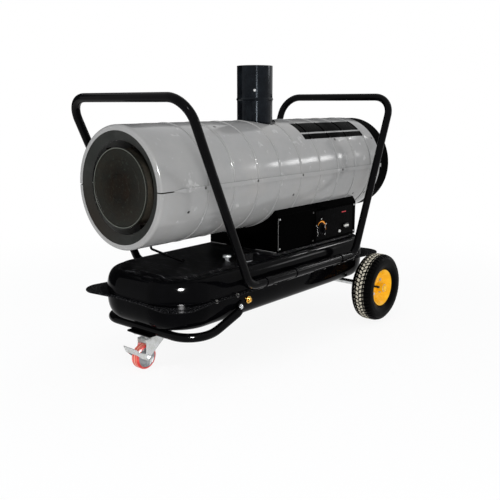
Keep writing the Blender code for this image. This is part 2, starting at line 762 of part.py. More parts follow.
def clip_outline(side):
    """Strap section: a tail on the flange that runs up and wraps round the tube."""
    seat = FLANGE_TOP + SEAT_GAP
    start = math.radians(CLIP_START_ANGLE)
    sweep = math.radians(CLIP_SWEEP_ANGLE)
    stretch = 1 / math.cos(sweep / CLIP_STEPS / 2)
    bore = (TUBE_RADIUS + SEAT_GAP) * stretch
    centre = (HANDLE_SIDE, RAIL_HEIGHT)
    outside = arc_points(bore + CLIP_SHEET, CLIP_STEPS, centre, start, sweep)
    inside = arc_points(bore, CLIP_STEPS, centre, start + sweep, -sweep)
    root = TANK_HALF_WIDTH + CLIP_BODY_GAP
    tail = [(root, seat), (root + CLIP_TAIL, seat)]
    back = [(root + CLIP_TAIL - CLIP_SHEET, seat + CLIP_SHEET), (root, seat + CLIP_SHEET)]
    return [(side * a, b) for a, b in tail + outside + inside + back]


def handle_clip(name, side, middle, width, finish):
    """Strap that holds the tubes to the flange; the long ones also join their ends."""
    bm = bmesh.new()
    prism(bm, clip_outline(side), station(middle - width / 2), station(middle + width / 2), "X")
    add_piece(name, bm, finish)


def front_stay_rod(finish):
    """Thin bent rod that steadies the barrel's front on the tank."""
    bm = bmesh.new()
    top = BARREL_HEIGHT - SHELL_RADIUS - SEAT_GAP
    foot = PANEL_TOP + SEAT_GAP + STAY_RADIUS
    path = (
        (station(STAY_TOP_STATION), 0, top), (station(STAY_TOP_STATION), 0, top - STAY_END_LENGTH),
        (station(STAY_FOOT_STATION), 0, foot),
        (station(STAY_FOOT_STATION + STAY_END_LENGTH), 0, foot))
    bent_tube(bm, path, (STAY_BEND, STAY_BEND), STAY_RADIUS, 0.0, ROD_SIDES)
    add_piece("front_stay_rod", bm, finish)


# Axle and wheels


def wheel_axle(finish):
    """Round steel axle that passes right across under the tank, with a collar at each wheel."""
    bm = bmesh.new()
    half = WHEEL_SIDE + WHEEL_WIDTH / 2 - AXLE_CAP_WALL - SEAT_GAP
    outer = WHEEL_SIDE - HUB_LENGTH / 2 - RUN_GAP
    inner = outer - AXLE_COLLAR
    right = [
        (inner, AXLE_RADIUS), (inner, AXLE_COLLAR_RADIUS), (outer, AXLE_COLLAR_RADIUS),
        (outer, AXLE_RADIUS), (half, AXLE_RADIUS), (half, 0)]
    profile = [(-a, r) for a, r in reversed(right)] + right
    centre = (station(AXLE_STATION), 0, WHEEL_RADIUS)
    turned(bm, profile, SMALL_SIDES, (0, 1, 0), centre, closed=False)
    add_piece("wheel_axle", bm, finish)


def axle_bracket(finish):
    """Folded bracket under the tank, with an eye for the axle at each side."""
    bm = bmesh.new()
    x = station(AXLE_STATION)
    top = TANK_BOTTOM - SEAT_GAP
    eye = arc_points(AXLE_EYE_RADIUS, EYE_STEPS, (x, WHEEL_RADIUS), math.pi, math.pi)
    outline = [(x - AXLE_PLATE_HALF, top), *eye, (x + AXLE_PLATE_HALF, top)]
    prism(bm, outline, -AXLE_PLATE_SIDE, AXLE_PLATE_SIDE, "Y")
    bracket = add_piece("axle_bracket", bm, finish)
    slot = bmesh.new()
    inside = AXLE_PLATE_SIDE - AXLE_PLATE_SHEET
    reach = AXLE_PLATE_HALF + CUT_OVERRUN
    block(slot, (x - reach, -inside, 0), (x + reach, inside, top - AXLE_PLATE_SHEET))
    combine(bracket, add_piece("bracket_slot_tool", slot, finish))
    span = AXLE_PLATE_SIDE + CUT_OVERRUN
    combine(bracket, round_cutter(
        "axle_hole_tool", AXLE_RADIUS + SEAT_GAP, -span, span, (0, 1, 0), (x, 0, WHEEL_RADIUS),
        SMALL_SIDES, finish))


def axle_cap(name, side, finish):
    """Pressed cap on one end of the axle, outside the hub."""
    bm = bmesh.new()
    bore = AXLE_RADIUS + SEAT_GAP
    end = WHEEL_SIDE + WHEEL_WIDTH / 2
    mouth = WHEEL_SIDE + HUB_LENGTH / 2 + RUN_GAP
    roof = end - AXLE_CAP_WALL
    cap_radius = bore + AXLE_CAP_WALL
    profile = (
        (roof, 0), (roof, bore), (mouth, bore), (mouth, cap_radius), (end, cap_radius), (end, 0))
    centre = (station(AXLE_STATION), 0, WHEEL_RADIUS)
    turned(bm, profile, SMALL_SIDES, (0, side, 0), centre, closed=False)
    add_piece(name, bm, finish)


def tyre(name, place, finish):
    """Pneumatic tyre, fuller at its sides than its rim, with rounded shoulders."""
    bm = bmesh.new()
    seat = BEAD_RADIUS + SEAT_GAP
    flange = BEAD_RADIUS + RIM_FLANGE + SEAT_GAP
    bead = RIM_WIDTH / 2 - RIM_FLANGE_SHEET - SEAT_GAP
    half = WHEEL_WIDTH / 2
    height = WHEEL_RADIUS - flange
    tread_shares = ((0.30, 1.0), (0.74, 0.94), (0.96, 0.74), (1.0, 0.44), (0.84, 0.12))
    outside = [(half * a, flange + height * b) for a, b in tread_shares]
    section = outside + [(bead, flange), (bead, seat)]
    loop = section + [(-a, r) for a, r in reversed(section)]
    turned(bm, loop, ROUND_SIDES, (0, 1, 0))
    add_piece(name, bm, finish, place)


def rim(name, place, finish):
    """Two pressed dishes joined at a flat web, with a hub tube through them."""
    bm = bmesh.new()
    edge = RIM_WIDTH / 2
    inside = edge - RIM_FLANGE_SHEET
    section = [
        (HUB_LENGTH / 2, HUB_RADIUS - HUB_WALL), (HUB_LENGTH / 2, HUB_RADIUS),
        (RIM_WEB_HALF, RIM_ROOT_RADIUS), (RIM_WEB_HALF, RIM_WEB_RADIUS),
        (edge, BEAD_RADIUS), (edge, BEAD_RADIUS + RIM_FLANGE), (inside, BEAD_RADIUS + RIM_FLANGE),
        (inside, BEAD_RADIUS)]
    loop = section + [(-a, r) for a, r in reversed(section)]
    turned(bm, loop, ROUND_SIDES, (0, 1, 0))
    add_piece(name, bm, finish, place)


def hub_bush(name, place, finish):
    """Bush pressed into the hub, running on the axle."""
    bm = bmesh.new()
    bore = AXLE_RADIUS * SMALL_CORNER_SHARE + RUN_GAP / 2
    outside = (HUB_RADIUS - HUB_WALL - SEAT_GAP) / SMALL_CORNER_SHARE
    half = HUB_LENGTH / 2
    profile = ((-half, bore), (-half, outside), (half, outside), (half, bore))
    turned(bm, profile, SMALL_SIDES, (0, 1, 0))
    add_piece(name, bm, finish, place)


# Caster


def caster_plate(finish):
    """Zinc plated top plate of the caster."""
    bm = bmesh.new()
    x = station(SWIVEL_STATION)
    block(
        bm, (x - CASTER_PLATE_LENGTH / 2, -CASTER_PLATE_WIDTH / 2, PLATE_UNDER),
        (x + CASTER_PLATE_LENGTH / 2, CASTER_PLATE_WIDTH / 2, PLATE_UNDER + CASTER_PLATE_SHEET))
    add_piece("caster_plate", bm, finish)


def caster_fork(finish):
    """Folded fork that trails the wheel, under the round race of the swivel."""
    bm = bmesh.new()
    trail = CASTER_STATION - SWIVEL_STATION
    eye = arc_points(
        FORK_EYE_RADIUS, EYE_STEPS, (trail, CASTER_RADIUS), math.pi, math.pi)
    leg_top = FORK_TOP - FORK_LEG_DROP
    outline = [
        (-FORK_HALF_LENGTH, FORK_TOP), (-FORK_HALF_LENGTH, leg_top), *eye,
        (FORK_HALF_LENGTH, leg_top), (FORK_HALF_LENGTH, FORK_TOP)]
    prism(bm, outline, -FORK_OUTSIDE, FORK_OUTSIDE, "Y")
    place = (station(SWIVEL_STATION), 0, 0)
    fork = add_piece("caster_fork", bm, finish, place)
    slot = bmesh.new()
    reach = FORK_HALF_LENGTH + CASTER_RADIUS
    block(
        slot, (-reach, -FORK_INSIDE, -CUT_OVERRUN), (reach, FORK_INSIDE, FORK_TOP - FORK_SHEET))
    combine(fork, add_piece("fork_slot_tool", slot, finish, place))
    combine(fork, round_cutter(
        "fork_hole_tool", CASTER_AXLE_RADIUS + SEAT_GAP, -reach, reach, (0, 1, 0),
        (station(CASTER_STATION), 0, CASTER_RADIUS), SMALL_SIDES, finish))
    race = bmesh.new()
    low = FORK_TOP - FORK_SHEET / 2
    high = PLATE_UNDER - SEAT_GAP
    profile = ((low, 0), (low, CROWN_RADIUS), (high, CROWN_RADIUS), (high, 0))
    turned(race, profile, ROUND_SIDES, (0, 0, 1), closed=False)
    combine(fork, add_piece("fork_race_tool", race, finish, place), "UNION")


def caster_wheel(tread_finish, hub_finish):
    """Moulded hub with a softer tread round it."""
    place = (station(CASTER_STATION), 0, CASTER_RADIUS)
    core = CASTER_RADIUS - CASTER_TREAD
    bm = bmesh.new()
    half = CASTER_WIDTH / 2
    section = [
        (half - CASTER_TREAD_EDGE, CASTER_RADIUS), (half, CASTER_RADIUS - CASTER_TREAD_EDGE),
        (half, core + SEAT_GAP)]
    loop = section + [(-a, r) for a, r in reversed(section)]
    turned(bm, loop, SLIM_SIDES, (0, 1, 0))
    add_piece("caster_tyre", bm, tread_finish, place)
    bm = bmesh.new()
    bore = CASTER_AXLE_RADIUS * SMALL_CORNER_SHARE + SEAT_GAP
    hub = CASTER_HUB_WIDTH / 2
    section = [
        (hub, bore), (hub, CASTER_HUB_RADIUS), (CASTER_WEB_HALF, CASTER_HUB_RADIUS),
        (CASTER_WEB_HALF, core - CASTER_TREAD_EDGE), (half, core)]
    loop = section + [(-a, r) for a, r in reversed(section)]
    turned(bm, loop, SLIM_SIDES, (0, 1, 0))
    add_piece("caster_hub", bm, hub_finish, place)


def caster_axle(finish):
    """Bolt through fork and wheel, with a head outside each brake arm."""
    bm = bmesh.new()
    low = YOKE_OUTSIDE + SEAT_GAP
    end = low + CASTER_HEAD_LENGTH
    profile = (
        (-end, 0), (-end, CASTER_HEAD_RADIUS), (-low, CASTER_HEAD_RADIUS),
        (-low, CASTER_AXLE_RADIUS), (low, CASTER_AXLE_RADIUS), (low, CASTER_HEAD_RADIUS),
        (end, CASTER_HEAD_RADIUS), (end, 0))
    turned(bm, profile, SMALL_SIDES, (0, 1, 0), closed=False)
    add_piece("caster_axle", bm, finish, (station(CASTER_STATION), 0, CASTER_RADIUS))


def caster_brake(finish):
    """Foot pedal: two arms that turn on the wheel's bolt and a plate across the tread."""
    bm = bmesh.new()
    place = (station(CASTER_STATION), 0, CASTER_RADIUS)
    eye = arc_points(BRAKE_EYE_RADIUS, EYE_STEPS, (0, 0), -math.pi / 2, math.pi)
    heel = Vector((-BRAKE_HEEL_REACH, BRAKE_HEEL_RISE))
    tip = Vector((-BRAKE_TIP_REACH, BRAKE_TIP_RISE))
    slope = (tip - heel).normalized()
    inward = Vector((slope.y, -slope.x)) * BRAKE_SHEET
    outline = [*eye, tuple(tip + inward), tuple(tip), tuple(heel)]
    prism(bm, outline, -YOKE_OUTSIDE, YOKE_OUTSIDE, "Y")
    brake = add_piece("caster_brake", bm, finish, place)
    slot = bmesh.new()
    past = slope * CUT_OVERRUN
    low, high = heel + inward - past, tip + inward + past
    reach = BRAKE_EYE_RADIUS + CUT_OVERRUN
    inside = [tuple(low), tuple(high), (reach, high.y), (reach, -reach), (low.x, -reach)]
    prism(slot, inside, -YOKE_INSIDE, YOKE_INSIDE, "Y")
    combine(brake, add_piece("brake_slot_tool", slot, finish, place))
    bore = CASTER_AXLE_RADIUS * SMALL_CORNER_SHARE + SEAT_GAP
    combine(brake, round_cutter(
        "brake_hole_tool", bore, -CASTER_RADIUS, CASTER_RADIUS, (0, 1, 0), place, SMALL_SIDES,
        finish))


# Barrel


def ribbed_line(radius):
    """Places and radii along the barrel's outside, over all its ribs."""
    line = []
    for number in range(RIB_COUNT):
        middle = station(RIB_FIRST + RIB_PITCH * number)
        line += [
            (middle - RIB_WIDTH / 2, radius), (middle, radius + RIB_RISE),
            (middle + RIB_WIDTH / 2, radius)]
    return line


def barrel_tool(name, radius, finish, sides=BARREL_SIDES, ribs=True):
    """A solid barrel, ribs and all, that cuts its neighbours back."""
    bm = bmesh.new()
    front = station(-CUT_OVERRUN)
    rear = station(OVERALL_LENGTH + CUT_OVERRUN)
    line = ribbed_line(radius) if ribs else []
    profile = [(front, 0), (front, radius), *line, (rear, radius), (rear, 0)]
    turned(bm, profile, sides, (1, 0, 0), (0, 0, BARREL_HEIGHT), closed=False)
    return add_piece(name, bm, finish)


def shell_ring(outer, inner, strip, level, fold, sign):
    """One section of a half shell: its arc, a ledge at each seam and the upright strips."""
    steps = BARREL_SIDES // 2 - 1
    turn = math.tau / BARREL_SIDES
    arcs = [
        [(x, a, b) for a, b in arc_points(
            radius / BARREL_FLAT_SHARE, steps, (0, 0), turn / 2, turn * steps)]
        for x, radius in (outer, inner)]
    inward = strip - SHELL_SHEET
    outside = [(outer[0], strip, -level), (outer[0], strip, level), (*outer, level)]
    inside = [(*inner, fold), (inner[0], inward, fold), (inner[0], inward, -level)]
    loop = outside + arcs[0] + [(x, -a, b) for x, a, b in reversed(outside)]
    loop += [(x, -a, b) for x, a, b in reversed(inside)] + arcs[1][::-1] + inside
    return [(x, a, BARREL_HEIGHT + sign * b) for x, a, b in loop]


def half_shell(name, strip, level, lip_fold, sign, finish):
    """Half the barrel, from its turned-in front lip over the ribs to the plain rear edge.

    The lip ends at a height of its own, so that one half's lip fills the seam behind the strips.
    """
    bm = bmesh.new()
    front = station(0)
    fold = level - SHELL_SHEET
    nose_shares = ((0.0, 0.60), (0.12, 0.82), (0.45, 0.96), (1.0, 1.0))
    drop = SHELL_RADIUS - LIP_RADIUS
    nose = [
        (front + LIP_NOSE * a, LIP_RADIUS + drop * b) for a, b in nose_shares]
    back = front + SHELL_SHEET
    bore_drop = SHELL_BORE - LIP_RADIUS
    inner = [
        (front, LIP_RADIUS), (back - SEAT_GAP, LIP_RADIUS),
        (back, LIP_RADIUS + bore_drop * nose_shares[0][1]),
        (front + LIP_NOSE, SHELL_BORE)]
    rings = [
        shell_ring(outside, inside, strip, level, lip_fold if number < 2 else fold, sign)
        for number, (outside, inside) in enumerate(zip(nose, inner))]
    for x, radius in [*ribbed_line(SHELL_RADIUS), (station(SHELL_LENGTH), SHELL_RADIUS)]:
        rings.append(shell_ring((x, radius), (x, SHELL_BORE), strip, level, fold, sign))
    lofted(bm, rings)
    bmesh.ops.remove_doubles(bm, verts=bm.verts, dist=WELD)
    bmesh.ops.dissolve_limit(bm, angle_limit=math.radians(FLAT_LIMIT), verts=bm.verts, edges=bm.edges)
    return add_piece(name, bm, finish)


def upper_shell(finish):
    """Top half of the barrel, whose strips lie outside; the flue passes through it."""
    lip_fold = SEAM_STRIP - SHELL_SHEET - SEAT_GAP
    shell = half_shell(
        "upper_shell", SHELL_RADIUS + SEAM_STEP, SEAM_STRIP, lip_fold, 1, finish)
    combine(shell, round_cutter(
        "flue_hole_tool", FLUE_RADIUS + RUN_GAP, BARREL_HEIGHT, FLUE_TOP, (0, 0, 1),
        (station(FLUE_STATION), 0, 0), ROUND_SIDES, finish))


def lower_shell(finish):
    """Bottom half of the barrel, whose strips lie inside the upper ones."""
    strip = SHELL_RADIUS + SEAM_STEP - SHELL_SHEET - SEAT_GAP
    level = SEAM_STRIP - SHELL_SHEET * LOWER_LEDGE_SHARE
    shell = half_shell("lower_shell", strip, level, -level, -1, finish)
    combine(shell, round_cutter(
        "feed_hole_tool", FUEL_LINE_RADIUS + RUN_GAP, 0, BARREL_HEIGHT, (0, 0, 1),
        (station(FEED_STATION), 0, 0), SMALL_SIDES, finish))


def outlet_cone(finish):
    """Funnel behind the front lip that narrows the outlet to a ring round the chamber."""
    bm = bmesh.new()
    face = SHELL_SHEET + SEAT_GAP
    rim = LIP_RADIUS + OUTLET_FLANGE
    mouth = LIP_RADIUS - SEAT_GAP
    profile = (
        (face, rim), (face, mouth), (OUTLET_DEPTH, OUTLET_MOUTH_RADIUS),
        (OUTLET_DEPTH + OUTLET_SHEET, OUTLET_MOUTH_RADIUS + OUTLET_SHEET),
        (face + OUTLET_SHEET, mouth + OUTLET_SHEET), (face + OUTLET_SHEET, rim))
    turned(bm, profile, BARREL_SIDES, (1, 0, 0), (station(0), 0, BARREL_HEIGHT))
    add_piece("outlet_cone", bm, finish)


def combustion_chamber(finish):
    """Can that holds the flame, with holes for the burner behind and the flue on top."""
    bm = bmesh.new()
    bore = CHAMBER_RADIUS - CHAMBER_WALL
    hole = BURNER_RADIUS / math.cos(math.pi / SLIM_SIDES) + SEAT_GAP
    profile = (
        (CHAMBER_START, bore), (CHAMBER_START, CHAMBER_RADIUS), (CHAMBER_END, CHAMBER_RADIUS),
        (CHAMBER_END, hole), (CHAMBER_END - CHAMBER_WALL, hole), (CHAMBER_END - CHAMBER_WALL, bore))
    turned(bm, profile, ROUND_SIDES, (1, 0, 0), (station(0), 0, BARREL_HEIGHT))
    chamber = add_piece("combustion_chamber", bm, finish)
    combine(chamber, round_cutter(
        "gas_hole_tool", FLUE_RADIUS - FLUE_WALL, BARREL_HEIGHT, FLUE_TOP, (0, 0, 1),
        (station(FLUE_STATION), 0, 0), ROUND_SIDES, finish))


def chamber_front_disc(finish):
    """Stepped lid with a rolled rim that closes the front of the chamber."""
    bm = bmesh.new()
    field = FRONT_DISC_START + FRONT_DISC_DISH
    levels = (
        (field - 2 * FRONT_DISC_STEP, FRONT_DISC_CENTRE_RADIUS),
        (field - FRONT_DISC_STEP, FRONT_DISC_STEP_RADIUS))
    front = [(levels[0][0], 0)]
    for (x, radius), behind in zip(levels, (levels[1][0], field)):
        front += [(x, radius), (behind, radius + FRONT_DISC_STEP)]
    rim = FRONT_DISC_RADIUS - FRONT_DISC_RIM
    front += [(field, rim), (FRONT_DISC_START, rim + CHAMBER_WALL)]
    end = field + CHAMBER_WALL
    profile = front + [
        (FRONT_DISC_START, FRONT_DISC_RADIUS), (end, FRONT_DISC_RADIUS), (end, 0)]
    turned(bm, profile, ROUND_SIDES, (1, 0, 0), (station(0), 0, BARREL_HEIGHT), closed=False)
    add_piece("chamber_front_disc", bm, finish)


def chamber_support(name, place, finish):
    """Band round the chamber with three legs that reach the barrel."""
    bm = bmesh.new()
    inner = CHAMBER_RADIUS + SEAT_GAP
    outer = inner + CHAMBER_BRACKET_SHEET
    half = CHAMBER_BRACKET_LENGTH / 2
    profile = ((-half, inner), (-half, outer), (half, outer), (half, inner))
    centre = (station(place), 0, BARREL_HEIGHT)
    turned(bm, profile, ROUND_SIDES, (1, 0, 0))
    band = add_piece(name, bm, finish, centre)
    legs = bmesh.new()
    thick = CHAMBER_BRACKET_SHEET / 2
    for angle in CHAMBER_BRACKET_ANGLES:
        made = bmesh.ops.create_cube(legs, size=1)
        low = (inner + outer) / 2
        high = SHELL_BORE - SEAT_GAP
        size = (CHAMBER_BRACKET_LENGTH - thick, 2 * thick, high - low)
        turn = Matrix.Rotation(math.radians(angle - 90), 4, "X")
        shape = turn @ Matrix.LocRotScale(Vector((0, 0, (low + high) / 2)), None, Vector(size))
        bmesh.ops.transform(legs, matrix=shape, verts=made["verts"])
    combine(band, add_piece(name + "_legs_tool", legs, finish, centre), "UNION")


def flue_pipe(finish):
    """Beaded exhaust pipe that stands on the chamber and passes through the barrel."""
    bm = bmesh.new()
    bore = FLUE_RADIUS - FLUE_WALL
    bead = FLUE_BEAD_WIDTH / 2
    foot = BARREL_HEIGHT + CHAMBER_RADIUS / 2
    profile = (
        (foot, bore), (foot, FLUE_RADIUS), (FLUE_BEAD_HEIGHT - bead, FLUE_RADIUS),
        (FLUE_BEAD_HEIGHT, FLUE_RADIUS + FLUE_BEAD_RISE),
        (FLUE_BEAD_HEIGHT + bead, FLUE_RADIUS), (FLUE_TOP, FLUE_RADIUS), (FLUE_TOP, bore))
    turned(bm, profile, ROUND_SIDES, (0, 0, 1), (station(FLUE_STATION), 0, 0))
    pipe = add_piece("flue_pipe", bm, finish)
    combine(pipe, barrel_tool(
        "pipe_foot_tool", CHAMBER_RADIUS + SEAT_GAP, finish, ROUND_SIDES, ribs=False))


def flue_collar(finish):
    """Saddle ring that covers the flue's hole in the barrel."""
    bm = bmesh.new()
    bore = FLUE_RADIUS + SEAT_GAP
    foot = BARREL_HEIGHT + SHELL_RADIUS / 2
    top = BARREL_HEIGHT + SHELL_RADIUS + COLLAR_RISE
    profile = (
        (foot, bore), (foot, bore + COLLAR_WIDTH), (top, bore + COLLAR_WIDTH), (top, bore))
    turned(bm, profile, ROUND_SIDES, (0, 0, 1), (station(FLUE_STATION), 0, 0))
    collar = add_piece("flue_collar", bm, finish)
    combine(collar, barrel_tool("collar_seat_tool", SHELL_RADIUS + SEAT_GAP, finish))
    combine(
        collar, barrel_tool(
            "collar_top_tool", SHELL_RADIUS + COLLAR_RISE - SEAT_GAP, finish, ribs=False),
        "INTERSECT")


# Burner, pump, motor and fan


def burner_tube(finish):
    """Tube through the rear wall of the chamber, with a flange against that wall."""
    bm = bmesh.new()
    bore = BURNER_RADIUS - BURNER_WALL
    seat = CHAMBER_END + SEAT_GAP
    hole = NOZZLE_RADIUS * SMALL_CORNER_SHARE + SEAT_GAP
    profile = (
        (BURNER_START, bore), (BURNER_START, BURNER_RADIUS), (seat, BURNER_RADIUS),
        (seat, BURNER_FLANGE_RADIUS), (seat + BURNER_FLANGE_SHEET, BURNER_FLANGE_RADIUS),
        (seat + BURNER_FLANGE_SHEET, BURNER_RADIUS), (BURNER_END, BURNER_RADIUS),
        (BURNER_END, hole), (BURNER_END - BURNER_WALL, hole), (BURNER_END - BURNER_WALL, bore))
    turned(bm, profile, SLIM_SIDES, (1, 0, 0), (station(0), 0, BARREL_HEIGHT))
    add_piece("burner_tube", bm, finish)


def oil_nozzle(finish):
    """Spray nozzle whose head rests on the burner's rear wall."""
    bm = bmesh.new()
    seat = BURNER_END + SEAT_GAP
    profile = (
        (NOZZLE_START - NOZZLE_TIP_LENGTH, 0), (NOZZLE_START - NOZZLE_TIP_LENGTH, NOZZLE_TIP_RADIUS),
        (NOZZLE_START, NOZZLE_RADIUS), (seat, NOZZLE_RADIUS), (seat, NOZZLE_HEAD_RADIUS),
        (seat + NOZZLE_HEAD_LENGTH, NOZZLE_HEAD_RADIUS), (seat + NOZZLE_HEAD_LENGTH, 0))
    turned(bm, profile, SMALL_SIDES, (1, 0, 0), (station(0), 0, BARREL_HEIGHT), closed=False)
    add_piece("oil_nozzle", bm, finish)


def fan_motor(finish):
    """Round motor with a hole for its shaft in the rear face."""
    bm = bmesh.new()
    hole = SHAFT_RADIUS * SMALL_CORNER_SHARE + RUN_GAP
    bottom = MOTOR_END - SHAFT_DEPTH
    profile = (
        (MOTOR_START, 0), (MOTOR_START, MOTOR_RADIUS - MOTOR_EDGE),
        (MOTOR_START + MOTOR_EDGE, MOTOR_RADIUS), (MOTOR_END - MOTOR_EDGE, MOTOR_RADIUS),
        (MOTOR_END, MOTOR_RADIUS - MOTOR_EDGE), (MOTOR_END, hole), (bottom, hole), (bottom, 0))
    turned(bm, profile, ROUND_SIDES, (1, 0, 0), (station(0), 0, BARREL_HEIGHT), closed=False)
    add_piece("fan_motor", bm, finish)


def fuel_pump(finish):
    """Gear pump on a boss at the front end of the motor."""
    bm = bmesh.new()
    back = MOTOR_START - SEAT_GAP
    body = back - PUMP_BOSS_LENGTH
    front = body - PUMP_LENGTH
    profile = (
        (front, 0), (front, PUMP_RADIUS), (body, PUMP_RADIUS), (body, PUMP_BOSS_RADIUS),
        (back, PUMP_BOSS_RADIUS), (back, 0))
    turned(bm, profile, SMALL_SIDES, (1, 0, 0), (station(0), 0, BARREL_HEIGHT), closed=False)
    add_piece("fuel_pump", bm, finish)


def motor_bracket(finish):
    """Cradle with two upright plates that carries the motor on the bottom of the barrel."""
    bm = bmesh.new()
    sweep = math.radians(CRADLE_SWEEP)
    corner = MOTOR_RADIUS / math.cos(math.pi / ROUND_SIDES) + SEAT_GAP
    radius = corner / math.cos(sweep / CRADLE_STEPS / 2)
    start = -(math.pi + sweep) / 2
    cradle = arc_points(radius, CRADLE_STEPS, (0, BARREL_HEIGHT), start, sweep)
    shoulder = cradle[0][1]
    foot = BARREL_HEIGHT - SHELL_BORE + SEAT_GAP
    foot_half = SHELL_BORE * math.tan(math.pi / BARREL_SIDES) - SEAT_GAP
    outline = [
        (-CRADLE_HALF, shoulder), *cradle, (CRADLE_HALF, shoulder), (foot_half, foot),
        (-foot_half, foot)]
    front = station(MOTOR_START + CRADLE_INSET)
    rear = station(MOTOR_END - CRADLE_INSET)
    prism(bm, outline, front, rear, "X")
    bracket = add_piece("motor_bracket", bm, finish)
    slot = bmesh.new()
    reach = CRADLE_HALF + CUT_OVERRUN
    block(
        slot, (front + CRADLE_SHEET, -reach, foot + CRADLE_SHEET),
        (rear - CRADLE_SHEET, reach, BARREL_HEIGHT))
    combine(bracket, add_piece("cradle_slot_tool", slot, finish))


def motor_shaft(finish):
    """Shaft that reaches from the motor through the fan's hub."""
    bm = bmesh.new()
    low = MOTOR_END - SHAFT_DEPTH + RUN_GAP - FAN_STATION
    high = MOTOR_END + SHAFT_REACH - FAN_STATION
    profile = ((low, 0), (low, SHAFT_RADIUS), (high, SHAFT_RADIUS), (high, 0))
    turned(bm, profile, SMALL_SIDES, (1, 0, 0), closed=False)
    add_piece("motor_shaft", bm, finish, (station(FAN_STATION), 0, BARREL_HEIGHT))


def blade_ring(angle, radius, chord):
    """Cambered section of a fan blade at one radius."""
    outward = Vector((0, math.cos(angle), math.sin(angle)))
    sideways = Vector((0, -math.sin(angle), math.cos(angle)))
    slope = Matrix.Rotation(math.radians(FAN_PITCH), 3, outward) @ sideways
    normal = outward.cross(slope)
    camber = FAN_CAMBER * chord / FAN_TIP_CHORD
    camber_shares = ((-0.5, 0.0), (0.0, 1.0), (0.5, 0.0))
    line = [
        outward * radius + slope * chord * a + normal * camber * b for a, b in camber_shares]
    half = normal * FAN_BLADE_SHEET / 2
    return [point + half for point in line] + [point - half for point in reversed(line)]


def fan(finish):
    """Axial fan: a hub with cambered blades of flat facets."""
    place = (station(FAN_STATION), 0, BARREL_HEIGHT)
    bm = bmesh.new()
    half = FAN_HUB_LENGTH / 2
    bore = SHAFT_RADIUS * SMALL_CORNER_SHARE + SEAT_GAP
    profile = ((-half, bore), (-half, FAN_HUB_RADIUS), (half, FAN_HUB_RADIUS), (half, bore))
    turned(bm, profile, ROUND_SIDES, (1, 0, 0))
    hub = add_piece("fan", bm, finish, place)
    blades = bmesh.new()
    root = FAN_HUB_RADIUS - FAN_ROOT_BITE
    sections = ((root, FAN_ROOT_CHORD), (FAN_RADIUS, FAN_TIP_CHORD))
    for number in range(FAN_BLADES):
        angle = math.tau * number / FAN_BLADES
        lofted(blades, [blade_ring(angle, *section) for section in sections])
    combine(hub, add_piece("fan_blades_tool", blades, finish, place), "UNION")


def feed_line(finish):
    """Suction line that rises from the tank through the barrel to the pump."""
    bm = bmesh.new()
    low = TANK_BOTTOM + FEED_CLEARANCE
    high = BARREL_HEIGHT - PUMP_RADIUS - SEAT_GAP
    bore = FUEL_LINE_RADIUS - FUEL_LINE_WALL
    profile = (
        (low, bore), (low, FUEL_LINE_RADIUS), (high, FUEL_LINE_RADIUS), (high, bore))
    turned(bm, profile, ROD_SIDES, (0, 0, 1), (station(FEED_STATION), 0, 0))
    add_piece("feed_line", bm, finish)


def nozzle_line(finish):
    """Looped line from the pump to the nozzle."""
    bm = bmesh.new()
    x = station(FEED_STATION)
    near = PUMP_RADIUS * SMALL_CORNER_SHARE + SEAT_GAP
    far = near + FUEL_LOOP
    end = station(BURNER_END + SEAT_GAP + NOZZLE_HEAD_LENGTH / 2)
    path = (
        (x, -near, BARREL_HEIGHT), (x, -far, BARREL_HEIGHT), (end, -far, BARREL_HEIGHT),
        (end, -NOZZLE_HEAD_RADIUS * SMALL_CORNER_SHARE - SEAT_GAP, BARREL_HEIGHT))
    bent_tube(
        bm, path, (FUEL_LINE_BEND, FUEL_LINE_BEND), FUEL_LINE_RADIUS, FUEL_LINE_WALL, ROD_SIDES)
    add_piece("nozzle_line", bm, finish)


# Rear ring and guard


def rear_ring(finish):
    """Round sleeve in the barrel's rear end, with its outer edge rolled inwards."""
    bm = bmesh.new()
    edge = OVERALL_LENGTH - RING_BEAD_WIDTH
    bead = RING_BORE - RING_BEAD
    profile = (
        (SHELL_LENGTH - RING_SEAT, RING_BORE), (SHELL_LENGTH - RING_SEAT, RING_RADIUS),
        (OVERALL_LENGTH - RING_SHEET, RING_RADIUS), (OVERALL_LENGTH, RING_RADIUS - RING_SHEET),
        (OVERALL_LENGTH, bead + RING_SHEET), (OVERALL_LENGTH - RING_SHEET, bead), (edge, bead),
        (edge - RING_SHEET, RING_BORE))
    turned(bm, profile, BARREL_SIDES, (1, 0, 0), (station(0), 0, BARREL_HEIGHT))
    add_piece("rear_ring", bm, finish)


